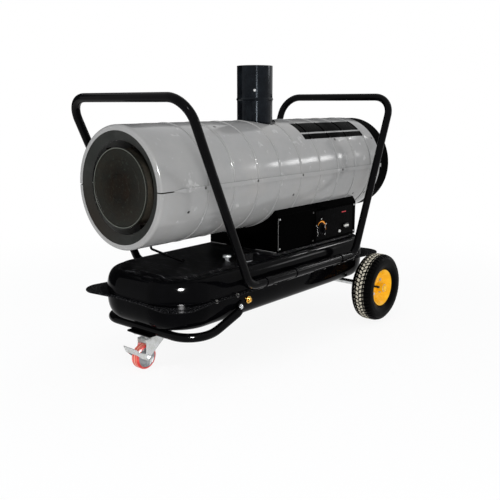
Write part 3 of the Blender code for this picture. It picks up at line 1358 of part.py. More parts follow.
def fan_guard(finish):
    """Wire rings inside the rear ring, crossed by straight spokes."""
    bm = bmesh.new()
    half = GUARD_WIRE / 2
    plane = OVERALL_LENGTH - RING_BEAD_WIDTH - RING_SHEET - GUARD_INSET
    outer = RING_BORE - SEAT_GAP - half
    centre = Vector((station(plane), 0, BARREL_HEIGHT))
    pitch = (outer - GUARD_HUB_RADIUS) / (GUARD_RINGS - 1)
    for number in range(GUARD_RINGS):
        radius = GUARD_HUB_RADIUS + pitch * number
        profile = ((-half, radius), (0, radius + half), (half, radius), (0, radius - half))
        turned(bm, profile, GUARD_SIDES, (1, 0, 0), centre, corners_fit=True)
    rings = add_piece("fan_guard", bm, finish)
    spokes = bmesh.new()
    behind = centre + Vector((GUARD_SPOKE_OFFSET, 0, 0))
    flat_share = math.cos(math.pi / GUARD_SIDES)
    for number in range(GUARD_SPOKES):
        turn = math.tau * number / GUARD_SPOKES
        way = Vector((0, math.cos(turn), math.sin(turn)))
        ends = (GUARD_HUB_RADIUS * flat_share, outer * flat_share)
        bent_tube(
            spokes, [behind + way * end for end in ends], (), GUARD_SPOKE_RADIUS, 0.0, ROD_SIDES)
    combine(rings, add_piece("guard_spokes_tool", spokes, finish), "UNION")


# Control box


def box_outline(inset, foot):
    """Section of the box: upright sides and shoulders that lean in under the barrel."""
    half = BOX_HALF_WIDTH - inset
    crest = BOX_CREST_HALF - inset
    right = [(half, foot), (half, BOX_SHOULDER_HEIGHT), (crest, BOX_CREST_HEIGHT)]
    return right + [(-a, b) for a, b in reversed(right)]


def control_box(finish):
    """Sheet box between tank and barrel, open below, with a window behind its cover."""
    bm = bmesh.new()
    ends = (station(BOX_FRONT), station(BOX_REAR))
    foot = PANEL_TOP + SEAT_GAP
    prism(bm, box_outline(0.0, foot), *ends, "X")
    box = add_piece("control_box", bm, finish)
    inside = bmesh.new()
    prism(
        inside, box_outline(BOX_SHEET, foot - CUT_OVERRUN), ends[0] + BOX_SHEET,
        ends[1] - BOX_SHEET, "X")
    combine(box, add_piece("box_inside_tool", inside, finish))
    combine(box, barrel_tool("box_saddle_tool", SHELL_RADIUS + SEAT_GAP, finish))
    window = bmesh.new()
    block(
        window, (ends[0] + WINDOW_MARGIN, -BOX_HALF_WIDTH - CUT_OVERRUN, foot + WINDOW_MARGIN),
        (ends[1] - WINDOW_MARGIN, -BOX_HALF_WIDTH + CUT_OVERRUN,
         BOX_SHOULDER_HEIGHT - WINDOW_MARGIN))
    combine(box, add_piece("box_window_tool", window, finish))
    combine(box, round_cutter(
        "cable_hole_tool", GLAND_BORE, -CUT_OVERRUN, CUT_OVERRUN, (1, 0, 0),
        (ends[1], -GLAND_SIDE, GLAND_HEIGHT), SMALL_SIDES, finish))


def control_panel(finish):
    """Flat cover over the window, on the control side."""
    bm = bmesh.new()
    block(
        bm, (station(BOX_FRONT + COVER_MARGIN), -COVER_FACE, PANEL_TOP + COVER_MARGIN),
        (station(BOX_REAR - COVER_MARGIN), -BOX_HALF_WIDTH - SEAT_GAP,
         BOX_SHOULDER_HEIGHT - COVER_MARGIN))
    add_piece("control_panel", bm, finish)


def dial_plate(finish):
    """Thin plate on the cover behind knob, switch and lamp."""
    bm = bmesh.new()
    block(
        bm, (station(BEZEL_FRONT), -BEZEL_FACE, BEZEL_LOW),
        (station(BEZEL_REAR), -COVER_FACE - SEAT_GAP, BEZEL_HIGH))
    add_piece("dial_plate", bm, finish)


def thermostat_knob(finish):
    """Turning knob: a skirt with a raised bar across it."""
    place = (station(KNOB_STATION), -BEZEL_FACE - SEAT_GAP, KNOB_HEIGHT)
    bm = bmesh.new()
    profile = (
        (0, 0), (0, KNOB_SKIRT_RADIUS), (KNOB_SKIRT, KNOB_SKIRT_RADIUS), (KNOB_SKIRT, 0))
    turned(bm, profile, ROUND_SIDES, (0, -1, 0), closed=False)
    knob = add_piece("thermostat_knob", bm, finish, place)
    bar = bmesh.new()
    block(
        bar, (-KNOB_GRIP_HALF, -KNOB_DEPTH, -KNOB_RADIUS),
        (KNOB_GRIP_HALF, -KNOB_SKIRT / 2, KNOB_RADIUS), KNOB_GRIP_EDGE)
    combine(knob, add_piece("knob_bar_tool", bar, finish, place), "UNION")


def power_switch(finish):
    """Rocker that tips left and right on the middle of its underside."""
    bm = bmesh.new()
    half = SWITCH_LENGTH / 2
    lift = half * math.tan(math.radians(SWITCH_RELIEF))
    outline = (
        (0, 0), (half, -lift), (half, -SWITCH_RISE), (0, SWITCH_DIP - SWITCH_RISE),
        (-half, -SWITCH_RISE), (-half, -lift))
    prism(bm, outline, -SWITCH_TALL / 2, SWITCH_TALL / 2, "Z")
    place = (station(SWITCH_STATION), -BEZEL_FACE - SEAT_GAP, SWITCH_HEIGHT)
    add_piece("power_switch", bm, finish, place)


def power_lamp(finish):
    """Round lamp lens beside the switch."""
    bm = bmesh.new()
    profile = (
        (0, 0), (0, LAMP_RADIUS), (LAMP_DEPTH - LAMP_EDGE, LAMP_RADIUS),
        (LAMP_DEPTH, LAMP_RADIUS - LAMP_EDGE), (LAMP_DEPTH, 0))
    centre = (station(LAMP_STATION), -BEZEL_FACE - SEAT_GAP, LAMP_HEIGHT)
    turned(bm, profile, SMALL_SIDES, (0, -1, 0), centre, closed=False)
    add_piece("power_lamp", bm, finish)


def cable_gland(finish):
    """Gland with an open bore on the rear wall of the box."""
    bm = bmesh.new()
    nut = GLAND_LENGTH / 2
    profile = (
        (0, GLAND_BORE), (0, GLAND_RADIUS), (nut, GLAND_RADIUS), (nut, GLAND_NECK_RADIUS),
        (GLAND_LENGTH, GLAND_NECK_RADIUS), (GLAND_LENGTH, GLAND_BORE))
    centre = (station(BOX_REAR) + SEAT_GAP, -GLAND_SIDE, GLAND_HEIGHT)
    turned(bm, profile, SMALL_SIDES, (1, 0, 0), centre)
    add_piece("cable_gland", bm, finish)


def ignition_transformer(finish):
    """Closed block on the tank inside the box."""
    bm = bmesh.new()
    foot = PANEL_TOP + SEAT_GAP
    block(
        bm, (station(TRANSFORMER_STATION), -TRANSFORMER_WIDTH / 2, foot),
        (station(TRANSFORMER_STATION + TRANSFORMER_LENGTH), TRANSFORMER_WIDTH / 2,
         foot + TRANSFORMER_HEIGHT), TRANSFORMER_EDGE)
    add_piece("ignition_transformer", bm, finish)


FINISHES = {
    "barrel_grey": ((0.36, 0.36, 0.36), 0.42, 0.0),
    "gloss_black": ((0.012, 0.012, 0.013), 0.22, 0.0),
    "tube_black": ((0.014, 0.014, 0.015), 0.30, 0.0),
    "flue_black": ((0.010, 0.011, 0.014), 0.18, 0.0),
    "heat_stained": ((0.060, 0.055, 0.040), 0.60, 0.4),
    "chamber_steel": ((0.20, 0.19, 0.17), 0.50, 0.9),
    "motor_grey": ((0.10, 0.11, 0.12), 0.45, 0.0),
    "cast_alloy": ((0.50, 0.51, 0.52), 0.40, 0.9),
    "copper_line": ((0.60, 0.28, 0.16), 0.30, 1.0),
    "zinc": ((0.60, 0.61, 0.62), 0.32, 0.9),
    "brass": ((0.70, 0.48, 0.16), 0.28, 1.0),
    "rim_orange": ((1.0, 0.32, 0.005), 0.25, 0.0),
    "tyre_black": ((0.020, 0.020, 0.021), 0.70, 0.0),
    "caster_red": ((0.66, 0.035, 0.025), 0.45, 0.0),
    "hub_grey": ((0.30, 0.30, 0.31), 0.50, 0.0),
    "bush_nylon": ((0.70, 0.69, 0.65), 0.50, 0.0),
    "black_plastic": ((0.015, 0.015, 0.016), 0.40, 0.0),
    "switch_white": ((0.75, 0.75, 0.74), 0.35, 0.0),
    "lamp_lens": ((0.80, 0.80, 0.78), 0.20, 0.0),
    "dial_black": ((0.02, 0.02, 0.02), 0.35, 0.0),
}

PLAIN_PIECES = (
    (tank_lower_shell, "gloss_black"), (tank_upper_shell, "gloss_black"),
    (filler_neck, "zinc"), (fuel_strainer, "zinc"),
    (fuel_cap, "black_plastic"), (drain_plug, "brass"), (front_frame_tube, "tube_black"),
    (wheel_axle, "zinc"), (axle_bracket, "tube_black"),
    (upper_shell, "barrel_grey"), (lower_shell, "barrel_grey"),
    (outlet_cone, "tube_black"), (combustion_chamber, "chamber_steel"),
    (chamber_front_disc, "heat_stained"),
    (flue_collar, "flue_black"), (flue_pipe, "flue_black"), (burner_tube, "chamber_steel"),
    (oil_nozzle, "brass"), (motor_bracket, "zinc"), (fan_motor, "motor_grey"),
    (motor_shaft, "zinc"), (fan, "cast_alloy"), (fuel_pump, "cast_alloy"),
    (feed_line, "copper_line"), (nozzle_line, "copper_line"),
    (ignition_transformer, "motor_grey"),
    (rear_ring, "tube_black"), (fan_guard, "tube_black"), (control_box, "gloss_black"),
    (control_panel, "gloss_black"), (dial_plate, "dial_black"),
    (thermostat_knob, "black_plastic"), (power_switch, "switch_white"),
    (power_lamp, "lamp_lens"), (cable_gland, "black_plastic"), (front_stay_rod, "zinc"),
    (caster_plate, "zinc"), (caster_fork, "zinc"),
    (caster_axle, "zinc"), (caster_brake, "zinc"))


def main():
    """Builds every sub-part."""
    for old in list(bpy.data.objects):
        bpy.data.objects.remove(old, do_unlink=True)
    finishes = {name: make_material(name, *look) for name, look in FINISHES.items()}
    for make, finish in PLAIN_PIECES:
        make(finishes[finish])
    handle(
        "front_handle", RAIL_JOINT - RUN_GAP, FRONT_FOOT_STATION, FRONT_HANDLE_STATION,
        FRONT_HANDLE_TOP, finishes["tube_black"])
    handle(
        "rear_handle", RAIL_JOINT + RUN_GAP, REAR_FOOT_STATION, REAR_HANDLE_STATION,
        REAR_HANDLE_TOP, finishes["tube_black"])
    chamber_support("front_chamber_support", CHAMBER_SUPPORT_FRONT, finishes["chamber_steel"])
    chamber_support("rear_chamber_support", CHAMBER_SUPPORT_REAR, finishes["chamber_steel"])
    caster_wheel(finishes["caster_red"], finishes["hub_grey"])
    clips = (
        ("front", CLIP_FRONT_STATION, CLIP_END_WIDTH), ("joint", RAIL_JOINT, CLIP_JOINT_WIDTH),
        ("rear", CLIP_REAR_STATION, CLIP_END_WIDTH))
    for side, label in ((-1, "left"), (1, "right")):
        for part, middle, width in clips:
            handle_clip(f"{label}_{part}_clip", side, middle, width, finishes["tube_black"])
        place = (station(AXLE_STATION), side * WHEEL_SIDE, WHEEL_RADIUS)
        tyre(f"{label}_tyre", place, finishes["tyre_black"])
        rim(f"{label}_rim", place, finishes["rim_orange"])
        hub_bush(f"{label}_hub_bush", place, finishes["bush_nylon"])
        axle_cap(f"{label}_axle_cap", side, finishes["zinc"])


main()
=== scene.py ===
"""Looks of an indirect diesel forced air heater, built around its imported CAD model.

The CAD model is the frame: metres, +Z up, the outlet facing -X and the control panel facing -Y.
The sections follow the heater as it is put together, from the fuel tank up to the flue.
"""

import math

import bmesh
import bpy
from mathutils import Matrix, Vector


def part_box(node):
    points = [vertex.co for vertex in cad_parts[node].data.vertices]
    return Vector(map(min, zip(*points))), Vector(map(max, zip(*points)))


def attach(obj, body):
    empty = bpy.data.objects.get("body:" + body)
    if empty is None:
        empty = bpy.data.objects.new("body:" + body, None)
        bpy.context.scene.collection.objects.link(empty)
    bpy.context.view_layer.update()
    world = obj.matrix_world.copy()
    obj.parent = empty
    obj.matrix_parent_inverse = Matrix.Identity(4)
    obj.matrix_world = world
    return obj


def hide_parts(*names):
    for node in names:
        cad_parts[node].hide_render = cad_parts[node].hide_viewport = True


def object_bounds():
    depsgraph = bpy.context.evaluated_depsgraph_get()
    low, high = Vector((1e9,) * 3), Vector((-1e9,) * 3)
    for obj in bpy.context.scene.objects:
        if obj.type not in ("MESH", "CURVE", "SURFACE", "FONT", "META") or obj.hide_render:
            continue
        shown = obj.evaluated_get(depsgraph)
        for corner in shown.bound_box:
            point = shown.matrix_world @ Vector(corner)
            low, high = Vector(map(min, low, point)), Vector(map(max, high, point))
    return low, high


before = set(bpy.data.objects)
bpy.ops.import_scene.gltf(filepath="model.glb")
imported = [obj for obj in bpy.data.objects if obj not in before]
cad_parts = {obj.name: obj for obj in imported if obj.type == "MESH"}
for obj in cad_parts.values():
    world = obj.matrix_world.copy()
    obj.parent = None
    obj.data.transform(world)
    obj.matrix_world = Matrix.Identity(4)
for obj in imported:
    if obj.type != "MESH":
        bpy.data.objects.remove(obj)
cad_low, cad_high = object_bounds()


# Studio: a pale floor that fades to white, a white surround and soft lamps.
# The camera stands where the photograph was taken, in front of the heater's control side.


def colour(code):
    """Linear colour of an sRGB hex value."""
    shares = [int(code[k:k + 2], 16) / 255 for k in (1, 3, 5)]
    linear = [s / 12.92 if s <= 0.04045 else ((s + 0.055) / 1.055) ** 2.4 for s in shares]
    return (*linear, 1.0)


def add_node(tree, kind, inputs=None, **settings):
    """Adds a node with its properties; its inputs take values, sockets or nodes' first outputs."""
    made = tree.nodes.new(kind)
    for key, value in settings.items():
        setattr(made, key, value)
    for socket, value in (inputs or {}).items():
        if isinstance(value, bpy.types.Node):
            value = value.outputs[0]
        if isinstance(value, bpy.types.NodeSocket):
            tree.links.new(value, made.inputs[socket])
        else:
            made.inputs[socket].default_value = value
    return made


def seen_rays(tree):
    """1 for the rays that look at the surround, and 0 for those that only light the heater."""
    path = add_node(tree, "ShaderNodeLightPath")
    glossy = add_node(
        tree, "ShaderNodeMath", {0: path.outputs["Is Camera Ray"], 1: path.outputs["Is Glossy Ray"]},
        operation="MAXIMUM")
    return add_node(
        tree, "ShaderNodeMath", {0: glossy, 1: path.outputs["Is Transmission Ray"]},
        operation="MAXIMUM")


def cleared(block):
    """Turns on the nodes of a new world or material and clears them."""
    block.use_nodes = True
    block.node_tree.nodes.clear()
    return block


def linked(name, data):
    """An object of its data, in the scene."""
    made = bpy.data.objects.new(name, data)
    bpy.context.collection.objects.link(made)
    return made


def aimed(name, data, place, target):
    """A camera or a lamp that stands at a place and points at a target."""
    made = linked(name, data)
    made.location = place
    made.rotation_euler = (Vector(target) - Vector(place)).to_track_quat("-Z", "Y").to_euler()
    return made


def object_of(name, bm):
    """An object of a mesh taken as it is."""
    mesh = bpy.data.meshes.new(name)
    bm.to_mesh(mesh)
    bm.free()
    return linked(name, mesh)


def studio_sheet(name, size, material):
    """A flat sheet that stands in the studio and isn't part of the heater."""
    bm = bmesh.new()
    bmesh.ops.create_grid(bm, x_segments=1, y_segments=1, size=0.5)
    bmesh.ops.scale(bm, vec=(*size, 1.0), verts=bm.verts)
    made = object_of(name, bm)
    made.data.materials.append(material)
    return made


CAMERA_PLACE = (-1.9527, -1.6073, 0.8313)
CAMERA_TARGET = (-0.0787, -0.0360, 0.3127)
CAMERA_LENS = 49.83
FLOOR_SIZE = (12.0, 12.0)
FLOOR_CLEAR = 0.9
FLOOR_WHITE = 2.3
AMBIENT_LIGHT = 0.70
FLOOR_LIFT = 0.90
FULL_WHITE = {"Color": (1, 1, 1, 1), "Strength": 1.0}

camera_data = bpy.data.cameras.new("studio_camera")
camera_data.lens = CAMERA_LENS
bpy.context.scene.camera = aimed("studio_camera", camera_data, CAMERA_PLACE, CAMERA_TARGET)
bpy.context.scene.view_settings.view_transform = "Standard"

world = cleared(bpy.data.worlds.new("studio_surround"))
ambient = add_node(
    world.node_tree, "ShaderNodeBackground", {"Color": colour("#F4F6FA"), "Strength": AMBIENT_LIGHT})
white = add_node(world.node_tree, "ShaderNodeBackground", FULL_WHITE)
surround = add_node(
    world.node_tree, "ShaderNodeMixShader", {0: seen_rays(world.node_tree), 1: ambient, 2: white})
add_node(world.node_tree, "ShaderNodeOutputWorld", {"Surface": surround})
bpy.context.scene.world = world

floor_paint = cleared(bpy.data.materials.new("pale_studio_floor"))
floor_tree = floor_paint.node_tree
floor_reach = add_node(
    floor_tree, "ShaderNodeVectorMath",
    {0: add_node(floor_tree, "ShaderNodeTexCoord").outputs["Object"]}, operation="LENGTH")
floor_fade = add_node(
    floor_tree, "ShaderNodeMapRange",
    {"Value": floor_reach.outputs["Value"], "From Min": FLOOR_CLEAR, "From Max": FLOOR_WHITE,
     "To Min": FLOOR_LIFT}, interpolation_type="SMOOTHSTEP")
floor_share = add_node(
    floor_tree, "ShaderNodeMath", {0: floor_fade, 1: seen_rays(floor_tree)}, operation="MULTIPLY")
floor_matt = add_node(floor_tree, "ShaderNodeBsdfDiffuse", {"Color": colour("#F6F6F6")})
floor_glow = add_node(floor_tree, "ShaderNodeEmission", FULL_WHITE)
floor_mix = add_node(
    floor_tree, "ShaderNodeMixShader", {0: floor_share, 1: floor_matt, 2: floor_glow})
add_node(floor_tree, "ShaderNodeOutputMaterial", {"Surface": floor_mix})
studio_sheet("studio_floor", FLOOR_SIZE, floor_paint)

# Place, target, width, height, watts and spread in degrees. The softboxes give the light, and
# the glints are small lamps that only show as reflections.
LAMPS = {
    "softbox_front": ((-1.9, -2.5, 0.50), (-0.1, -0.1, 0.4), 1.1, 1.1, 40.0, 180),
    "softbox_left": ((-2.9, 0.9, 1.5), (-0.3, 0.0, 0.5), 1.2, 1.2, 18.0, 180),
    "softbox_top": ((0.0, -0.2, 2.9), (0.0, 0.0, 0.4), 2.4, 1.2, 15.0, 180),
    "glint_flash": ((-1.77, -1.78, 1.44), (-0.556, -0.166, 0.282), 0.62, 0.46, 14.0, 16),
    "glint_right": ((2.27, -0.72, 1.67), (0.17, -0.19, 0.20), 0.20, 0.50, 0.05, 8),
    "glint_window": ((2.04, -1.50, 1.17), (0.08, -0.18, 0.63), 0.46, 0.24, 3.4, 180),
    "glint_flue": ((-1.47, -1.91, 0.88), (0.0, 0.0, 0.90), 0.30, 0.46, 0.04, 7),
}
for name, (place, target, wide, tall, power, spread) in LAMPS.items():
    lamp_data = bpy.data.lights.new(name, "AREA")
    lamp_data.shape = "RECTANGLE"
    lamp_data.size = wide
    lamp_data.size_y = tall
    lamp_data.energy = power
    lamp_data.spread = math.radians(spread)
    lamp = aimed(name, lamp_data, place, target)
    lamp.visible_glossy = name.startswith("glint")
    lamp.visible_diffuse = not lamp.visible_glossy

# A matt dark flag stands behind the heater, out of the camera's sight. The gloss black tops
# mirror it at a flat angle, as they mirror a dark room in the photograph.
FLAG_PLACE = (1.8, 1.9, 1.20)
FLAG_SIZE = (8.0, 2.4)
FLAG_TURN = -0.15
flag_cloth = cleared(bpy.data.materials.new("matt_black_flag"))
flag_matt = add_node(flag_cloth.node_tree, "ShaderNodeBsdfDiffuse", {"Color": colour("#404040")})
add_node(flag_cloth.node_tree, "ShaderNodeOutputMaterial", {"Surface": flag_matt})
flag = studio_sheet("dark_flag", FLAG_SIZE, flag_cloth)
flag.location = FLAG_PLACE
flag.rotation_euler = (math.pi / 2, 0.0, FLAG_TURN)
flag.visible_camera = False
flag.visible_diffuse = False
flag.visible_shadow = False


# Fuel tank: two deep-drawn sheet steel halves, welded along a flange whose corners stand out as
# round ears. Powder coated gloss black, thin and even, so it mirrors the lamps and shows fine
# scratches and dust on its top; spots of painted highlight run along the seam flange. The upper
# half has a raised panel with a recess for the filler.

MERGE = 1e-6
UP, ALONG, ACROSS = (0, 0, 1), (1, 0, 0), (0, 1, 0)


def tinted(made, share, code):
    """Mixes a hex colour into a material's own by the share that a node gives."""
    tree = made.node_tree
    base = tree.nodes["Principled BSDF"].inputs["Base Color"]
    before = base.links[0].from_socket if base.links else base.default_value[:]
    tone = add_node(
        tree, "ShaderNodeMix", {"Factor": share, 6: before, 7: colour(code)}, data_type="RGBA")
    tree.links.new(tone.outputs[2], base)


def coated(name, code, second, patch_mm, share, rough, grain_mm, relief_mm, metallic=0.0, **sockets):
    """A surface that drifts to a second colour in patches, with uneven gloss and a fine grain."""
    made = bpy.data.materials.new(name)
    made.use_nodes = True
    tree = made.node_tree
    shader = tree.nodes["Principled BSDF"]
    shader.inputs["Base Color"].default_value = colour(code)
    shader.inputs["Metallic"].default_value = metallic
    for socket, value in sockets.items():
        shader.inputs[socket.replace("_", " ")].default_value = value
    place = add_node(tree, "ShaderNodeTexCoord").outputs["Object"]
    patches = add_node(
        tree, "ShaderNodeTexNoise",
        {"Vector": place, "Scale": 1000 / patch_mm, "Detail": 5.0, "Roughness": 0.62})
    drift = add_node(
        tree, "ShaderNodeMapRange",
        {"Value": patches, "From Min": 0.42, "From Max": 0.68, "To Max": share})
    tinted(made, drift, second)
    gloss = add_node(
        tree, "ShaderNodeMapRange",
        {"Value": patches, "From Min": 0.3, "From Max": 0.7, "To Min": rough[0], "To Max": rough[1]})
    tree.links.new(gloss.outputs[0], shader.inputs["Roughness"])
    grain = add_node(
        tree, "ShaderNodeTexNoise", {"Vector": place, "Scale": 1000 / grain_mm, "Detail": 2.0})
    relief = add_node(
        tree, "ShaderNodeBump", {"Height": grain, "Strength": 0.6, "Distance": relief_mm / 1000})
    tree.links.new(relief.outputs[0], shader.inputs["Normal"])
    return made


SCRATCH_TURNS = (0.45, -0.9)
SCRATCH_FADE = 0.003
# The seam's painted highlight: how fast it fades and the size of its spots.
SEAM_HIGHLIGHT_FADE = 0.0004
SEAM_HIGHLIGHT_SPOT_MM = 4.167


def scratches_and_seam_highlight(made, code, spacing_mm, stretch, share, lowest, dull, rim):
    """Adds pale scratches above a height and spots of painted highlight on the seam below a rim."""
    tree = made.node_tree
    place = add_node(tree, "ShaderNodeTexCoord").outputs["Object"]
    marks = []
    for turn in SCRATCH_TURNS:
        turned = add_node(
            tree, "ShaderNodeMapping",
            {"Vector": place, "Rotation": (0.0, 0.0, turn), "Scale": (1.0, stretch, stretch)})
        lines = add_node(
            tree, "ShaderNodeTexNoise",
            {"Vector": turned, "Scale": 1000 / (spacing_mm * stretch), "Detail": 3.0})
        marks.append(add_node(
            tree, "ShaderNodeMapRange",
            {"Value": lines, "From Min": 0.63, "From Max": 0.71, "To Max": share}))
    crossed = add_node(tree, "ShaderNodeMath", {0: marks[0], 1: marks[1]}, operation="MAXIMUM")
    height = add_node(tree, "ShaderNodeSeparateXYZ", {0: place}).outputs["Z"]
    above = add_node(
        tree, "ShaderNodeMapRange",
        {"Value": height, "From Min": lowest, "From Max": lowest + SCRATCH_FADE})
    on_top = add_node(tree, "ShaderNodeMath", {0: crossed, 1: above}, operation="MULTIPLY")
    dulled = add_node(tree, "ShaderNodeMath", {0: above, 1: dull}, operation="MULTIPLY")
    rough = tree.nodes["Principled BSDF"].inputs["Roughness"]
    duller = add_node(
        tree, "ShaderNodeMath", {0: rough.links[0].from_socket, 1: dulled}, operation="MAXIMUM")
    tree.links.new(duller.outputs[0], rough)
    # Spots of painted highlight on the seam flange, standing in for its edge catching the lamps.
    spots = add_node(
        tree, "ShaderNodeTexNoise", {"Vector": place, "Scale": 1000 / SEAM_HIGHLIGHT_SPOT_MM, "Detail": 2.0})
    painted_highlight = add_node(
        tree, "ShaderNodeMapRange",
        {"Value": spots, "From Min": 0.50, "From Max": 0.68, "To Max": share / 2})
    below = add_node(
        tree, "ShaderNodeMapRange",
        {"Value": height, "From Min": rim, "From Max": rim - SEAM_HIGHLIGHT_FADE})
    on_rim = add_node(tree, "ShaderNodeMath", {0: painted_highlight, 1: below}, operation="MULTIPLY")
    tinted(made, add_node(
        tree, "ShaderNodeMath", {0: on_top, 1: on_rim}, operation="MAXIMUM"), code)
    return made


def solid(name, bm):
    """Closes up a mesh, turns its faces outwards and makes it an object."""
    bmesh.ops.remove_doubles(bm, verts=bm.verts, dist=MERGE)
    bmesh.ops.recalc_face_normals(bm, faces=bm.faces)
    return object_of(name, bm)


def shaped(name, shape, *sizes, **more):
    """A solid from one of the functions that fill an empty mesh."""
    bm = bmesh.new()
    shape(bm, *sizes, **more)
    return solid(name, bm)


def evaluated(made):
    """The plain mesh that an object gives with its modifiers."""
    bpy.context.view_layer.update()
    return bpy.data.meshes.new_from_object(
        made.evaluated_get(bpy.context.evaluated_depsgraph_get()))


def plain_mesh(made):
    """Replaces an object's mesh and modifiers by the plain mesh that they give."""
    result = evaluated(made)
    made.modifiers.clear()
    made.data = result
    return made


def carve(made, tool, operation="DIFFERENCE"):
    """Cuts a tool's shape out of a piece, or keeps only what both share."""
    step = made.modifiers.new("carve", "BOOLEAN")
    step.operation = operation
    step.solver = "EXACT"
    step.object = tool
    plain_mesh(made)
    bpy.data.objects.remove(tool)
    return made


def dress(made, material, stands_for=None, body="chassis", edge=0.0, crease=34.0):
    """Gives a piece its finish, soft edges of that width and the body that it rides on."""
    made.data.materials.clear()
    made.data.materials.append(material)
    made.data.shade_smooth()
    if edge:
        soft = made.modifiers.new("soft_edges", "BEVEL")
        soft.width = edge
        soft.segments = 2
        soft.limit_method = "ANGLE"
        soft.angle_limit = math.radians(crease)
        plain_mesh(made)
    made.data.set_sharp_from_angle(angle=math.radians(crease))
    flat_first = made.modifiers.new("flat_faces_first", "WEIGHTED_NORMAL")
    flat_first.keep_sharp = True
    plain_mesh(made)
    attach(made, body)
    if stands_for:
        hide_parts(stands_for)


def arc(centre, radius, start, sweep, steps):
    """Points along an arc with both its ends, in degrees."""
    turns = [math.radians(start + sweep * k / steps) for k in range(steps + 1)]
    return [(centre[0] + radius * math.cos(t), centre[1] + radius * math.sin(t)) for t in turns]


def lofted(bm, rings):
    """Skins rings of equally many points and closes both ends."""
    rows = [[bm.verts.new(point) for point in ring] for ring in rings]
    for low, high in zip(rows, rows[1:]):
        for here in range(len(low)):
            after = (here + 1) % len(low)
            bm.faces.new((low[here], low[after], high[after], high[here]))
    bm.faces.new(rows[0])
    bm.faces.new(rows[-1])


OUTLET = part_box("upper_shell")[0].x
TANK_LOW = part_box("tank_lower_shell")[0].z
TANK_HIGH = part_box("tank_upper_shell")[1].z
TANK_HALF_WIDTH = 0.206
TANK_FRONT = OUTLET + 0.034
TANK_REAR = OUTLET + 1.152
TANK_CORNER = 0.140
TANK_SHEET = 0.0018
FLANGE_LEVEL = 0.236
FLANGE_WIDTH = 0.016
FLANGE_ROOT = 0.004
FLANGE_ROOT_SHARES = ((0.08, 0.6), (0.3, 0.3), (0.6, 0.08), (1.0, 0.0))
EAR_RADIUS = 0.070
EAR_REACH = 0.013
SHOULDER_REACH = 0.038
SHOULDER_ROUNDNESS = 2.3
CHINE_REACH = 0.056
CHINE_ROUNDNESS = 2.6
PANEL_RISE = 0.007
PANEL_SLOPE = 0.006
PANEL_INSET = 0.042
PANEL_TURN = 0.0015
RECESS_START = OUTLET + 0.335
RECESS_END = OUTLET + 0.560
RECESS_DEPTH = 0.092
RECESS_RAMP = 0.050
RECESS_STEPS = 8
FILLER_PLACE = (OUTLET + 0.430, -0.124)
FILLER_HOLE = 0.0228
FILLER_HOLE_SPAN = (-0.04, 0.02)
HAIR = 0.0002
TOP_SCRATCHES_LOWEST = TANK_HIGH - 0.010
# Top of the seam flange's band of painted highlight.
SEAM_HIGHLIGHT_HIGHEST = FLANGE_LEVEL + TANK_SHEET + 0.0012

black_coat = coated(
    "gloss_black_powder_coat", "#040405", "#08080A", 90.0, 0.6, (0.06, 0.11), 2.2, 0.012,
    Specular_IOR_Level=0.022)
# Scratches on the top are real wear; the spots along the seam are painted highlight.
coat_with_scratches_and_seam_highlight = scratches_and_seam_highlight(coated(
    "black_coat_scratches_and_seam_highlight", "#040405", "#08080A", 90.0, 0.6, (0.06, 0.13), 2.2, 0.012,
    Specular_IOR_Level=0.03), "#7C7C7E", spacing_mm=60.0, stretch=0.05, share=0.5,
    lowest=TOP_SCRATCHES_LOWEST, dull=0.30, rim=SEAM_HIGHLIGHT_HIGHEST)


def recess_line(half, depth):
    """The control side of the plan outline, drawn in smoothly round the filler."""
    ramp = [k / RECESS_STEPS for k in range(RECESS_STEPS + 1)]
    down = [(RECESS_START + RECESS_RAMP * t, (1 - math.cos(math.pi * t)) / 2) for t in ramp]
    up = [(RECESS_END - RECESS_RAMP * t, (1 - math.cos(math.pi * t)) / 2) for t in ramp]
    return [(x, depth * share - half) for x, share in down + up[::-1]]


def tank_corners(inset, steps=14):
    """The four corner arcs of the plan outline, drawn in by the inset."""
    corner = TANK_CORNER - inset
    side = TANK_HALF_WIDTH - TANK_CORNER
    ends = (TANK_REAR - TANK_CORNER, TANK_FRONT + TANK_CORNER)
    centres = ((ends[0], side), (ends[1], side), (ends[1], -side), (ends[0], -side))
    return [arc(centre, corner, 90 * k, 90, steps) for k, centre in enumerate(centres)]


def tank_ring(inset, height, recess=0.0):
    """One level of the tank's outline."""
    arcs = tank_corners(inset)
    line = recess_line(TANK_HALF_WIDTH - inset, recess)
    return [(a, b, height) for a, b in arcs[0] + arcs[1] + arcs[2] + line + arcs[3]]


def flange_ring(height, inset=0.0):
    """Outer edge of the flange with its four ears."""
    half = TANK_HALF_WIDTH + FLANGE_WIDTH - inset
    ends = {1: TANK_REAR + FLANGE_WIDTH - inset, -1: TANK_FRONT - FLANGE_WIDTH + inset}
    rings = []
    for quarter, (along, across) in enumerate(((1, 1), (-1, 1), (-1, -1), (1, -1))):
        line = tank_corners(0.0)[quarter]
        inward = EAR_REACH - EAR_RADIUS
        centre = (ends[along] + along * inward, across * (half + inward))
        ear = arc(centre, EAR_RADIUS, 90 * quarter, 90, len(line) - 3)
        on_end = [(ends[along], b) for a, b in (line[0], line[-1])]
        on_side = [(a, across * half) for a, b in (line[0], line[-1])]
        first, last = (on_end[0], on_side[1]) if along == across else (on_side[0], on_end[1])
        rings.append([first, *ear, last])
    line = recess_line(half, 0.0)
    return [(a, b, height) for a, b in rings[0] + rings[1] + rings[2] + line + rings[3]]


def drawn_levels(start, end, reach, roundness, steps=11):
    """Insets and heights of the rounded wall that deep drawing gives."""
    turns = [math.pi / 2 * k / steps for k in range(steps + 1)]
    return [(reach * (1 - math.cos(t) ** (2 / roundness)),
             start + (end - start) * math.sin(t) ** (2 / roundness)) for t in turns]


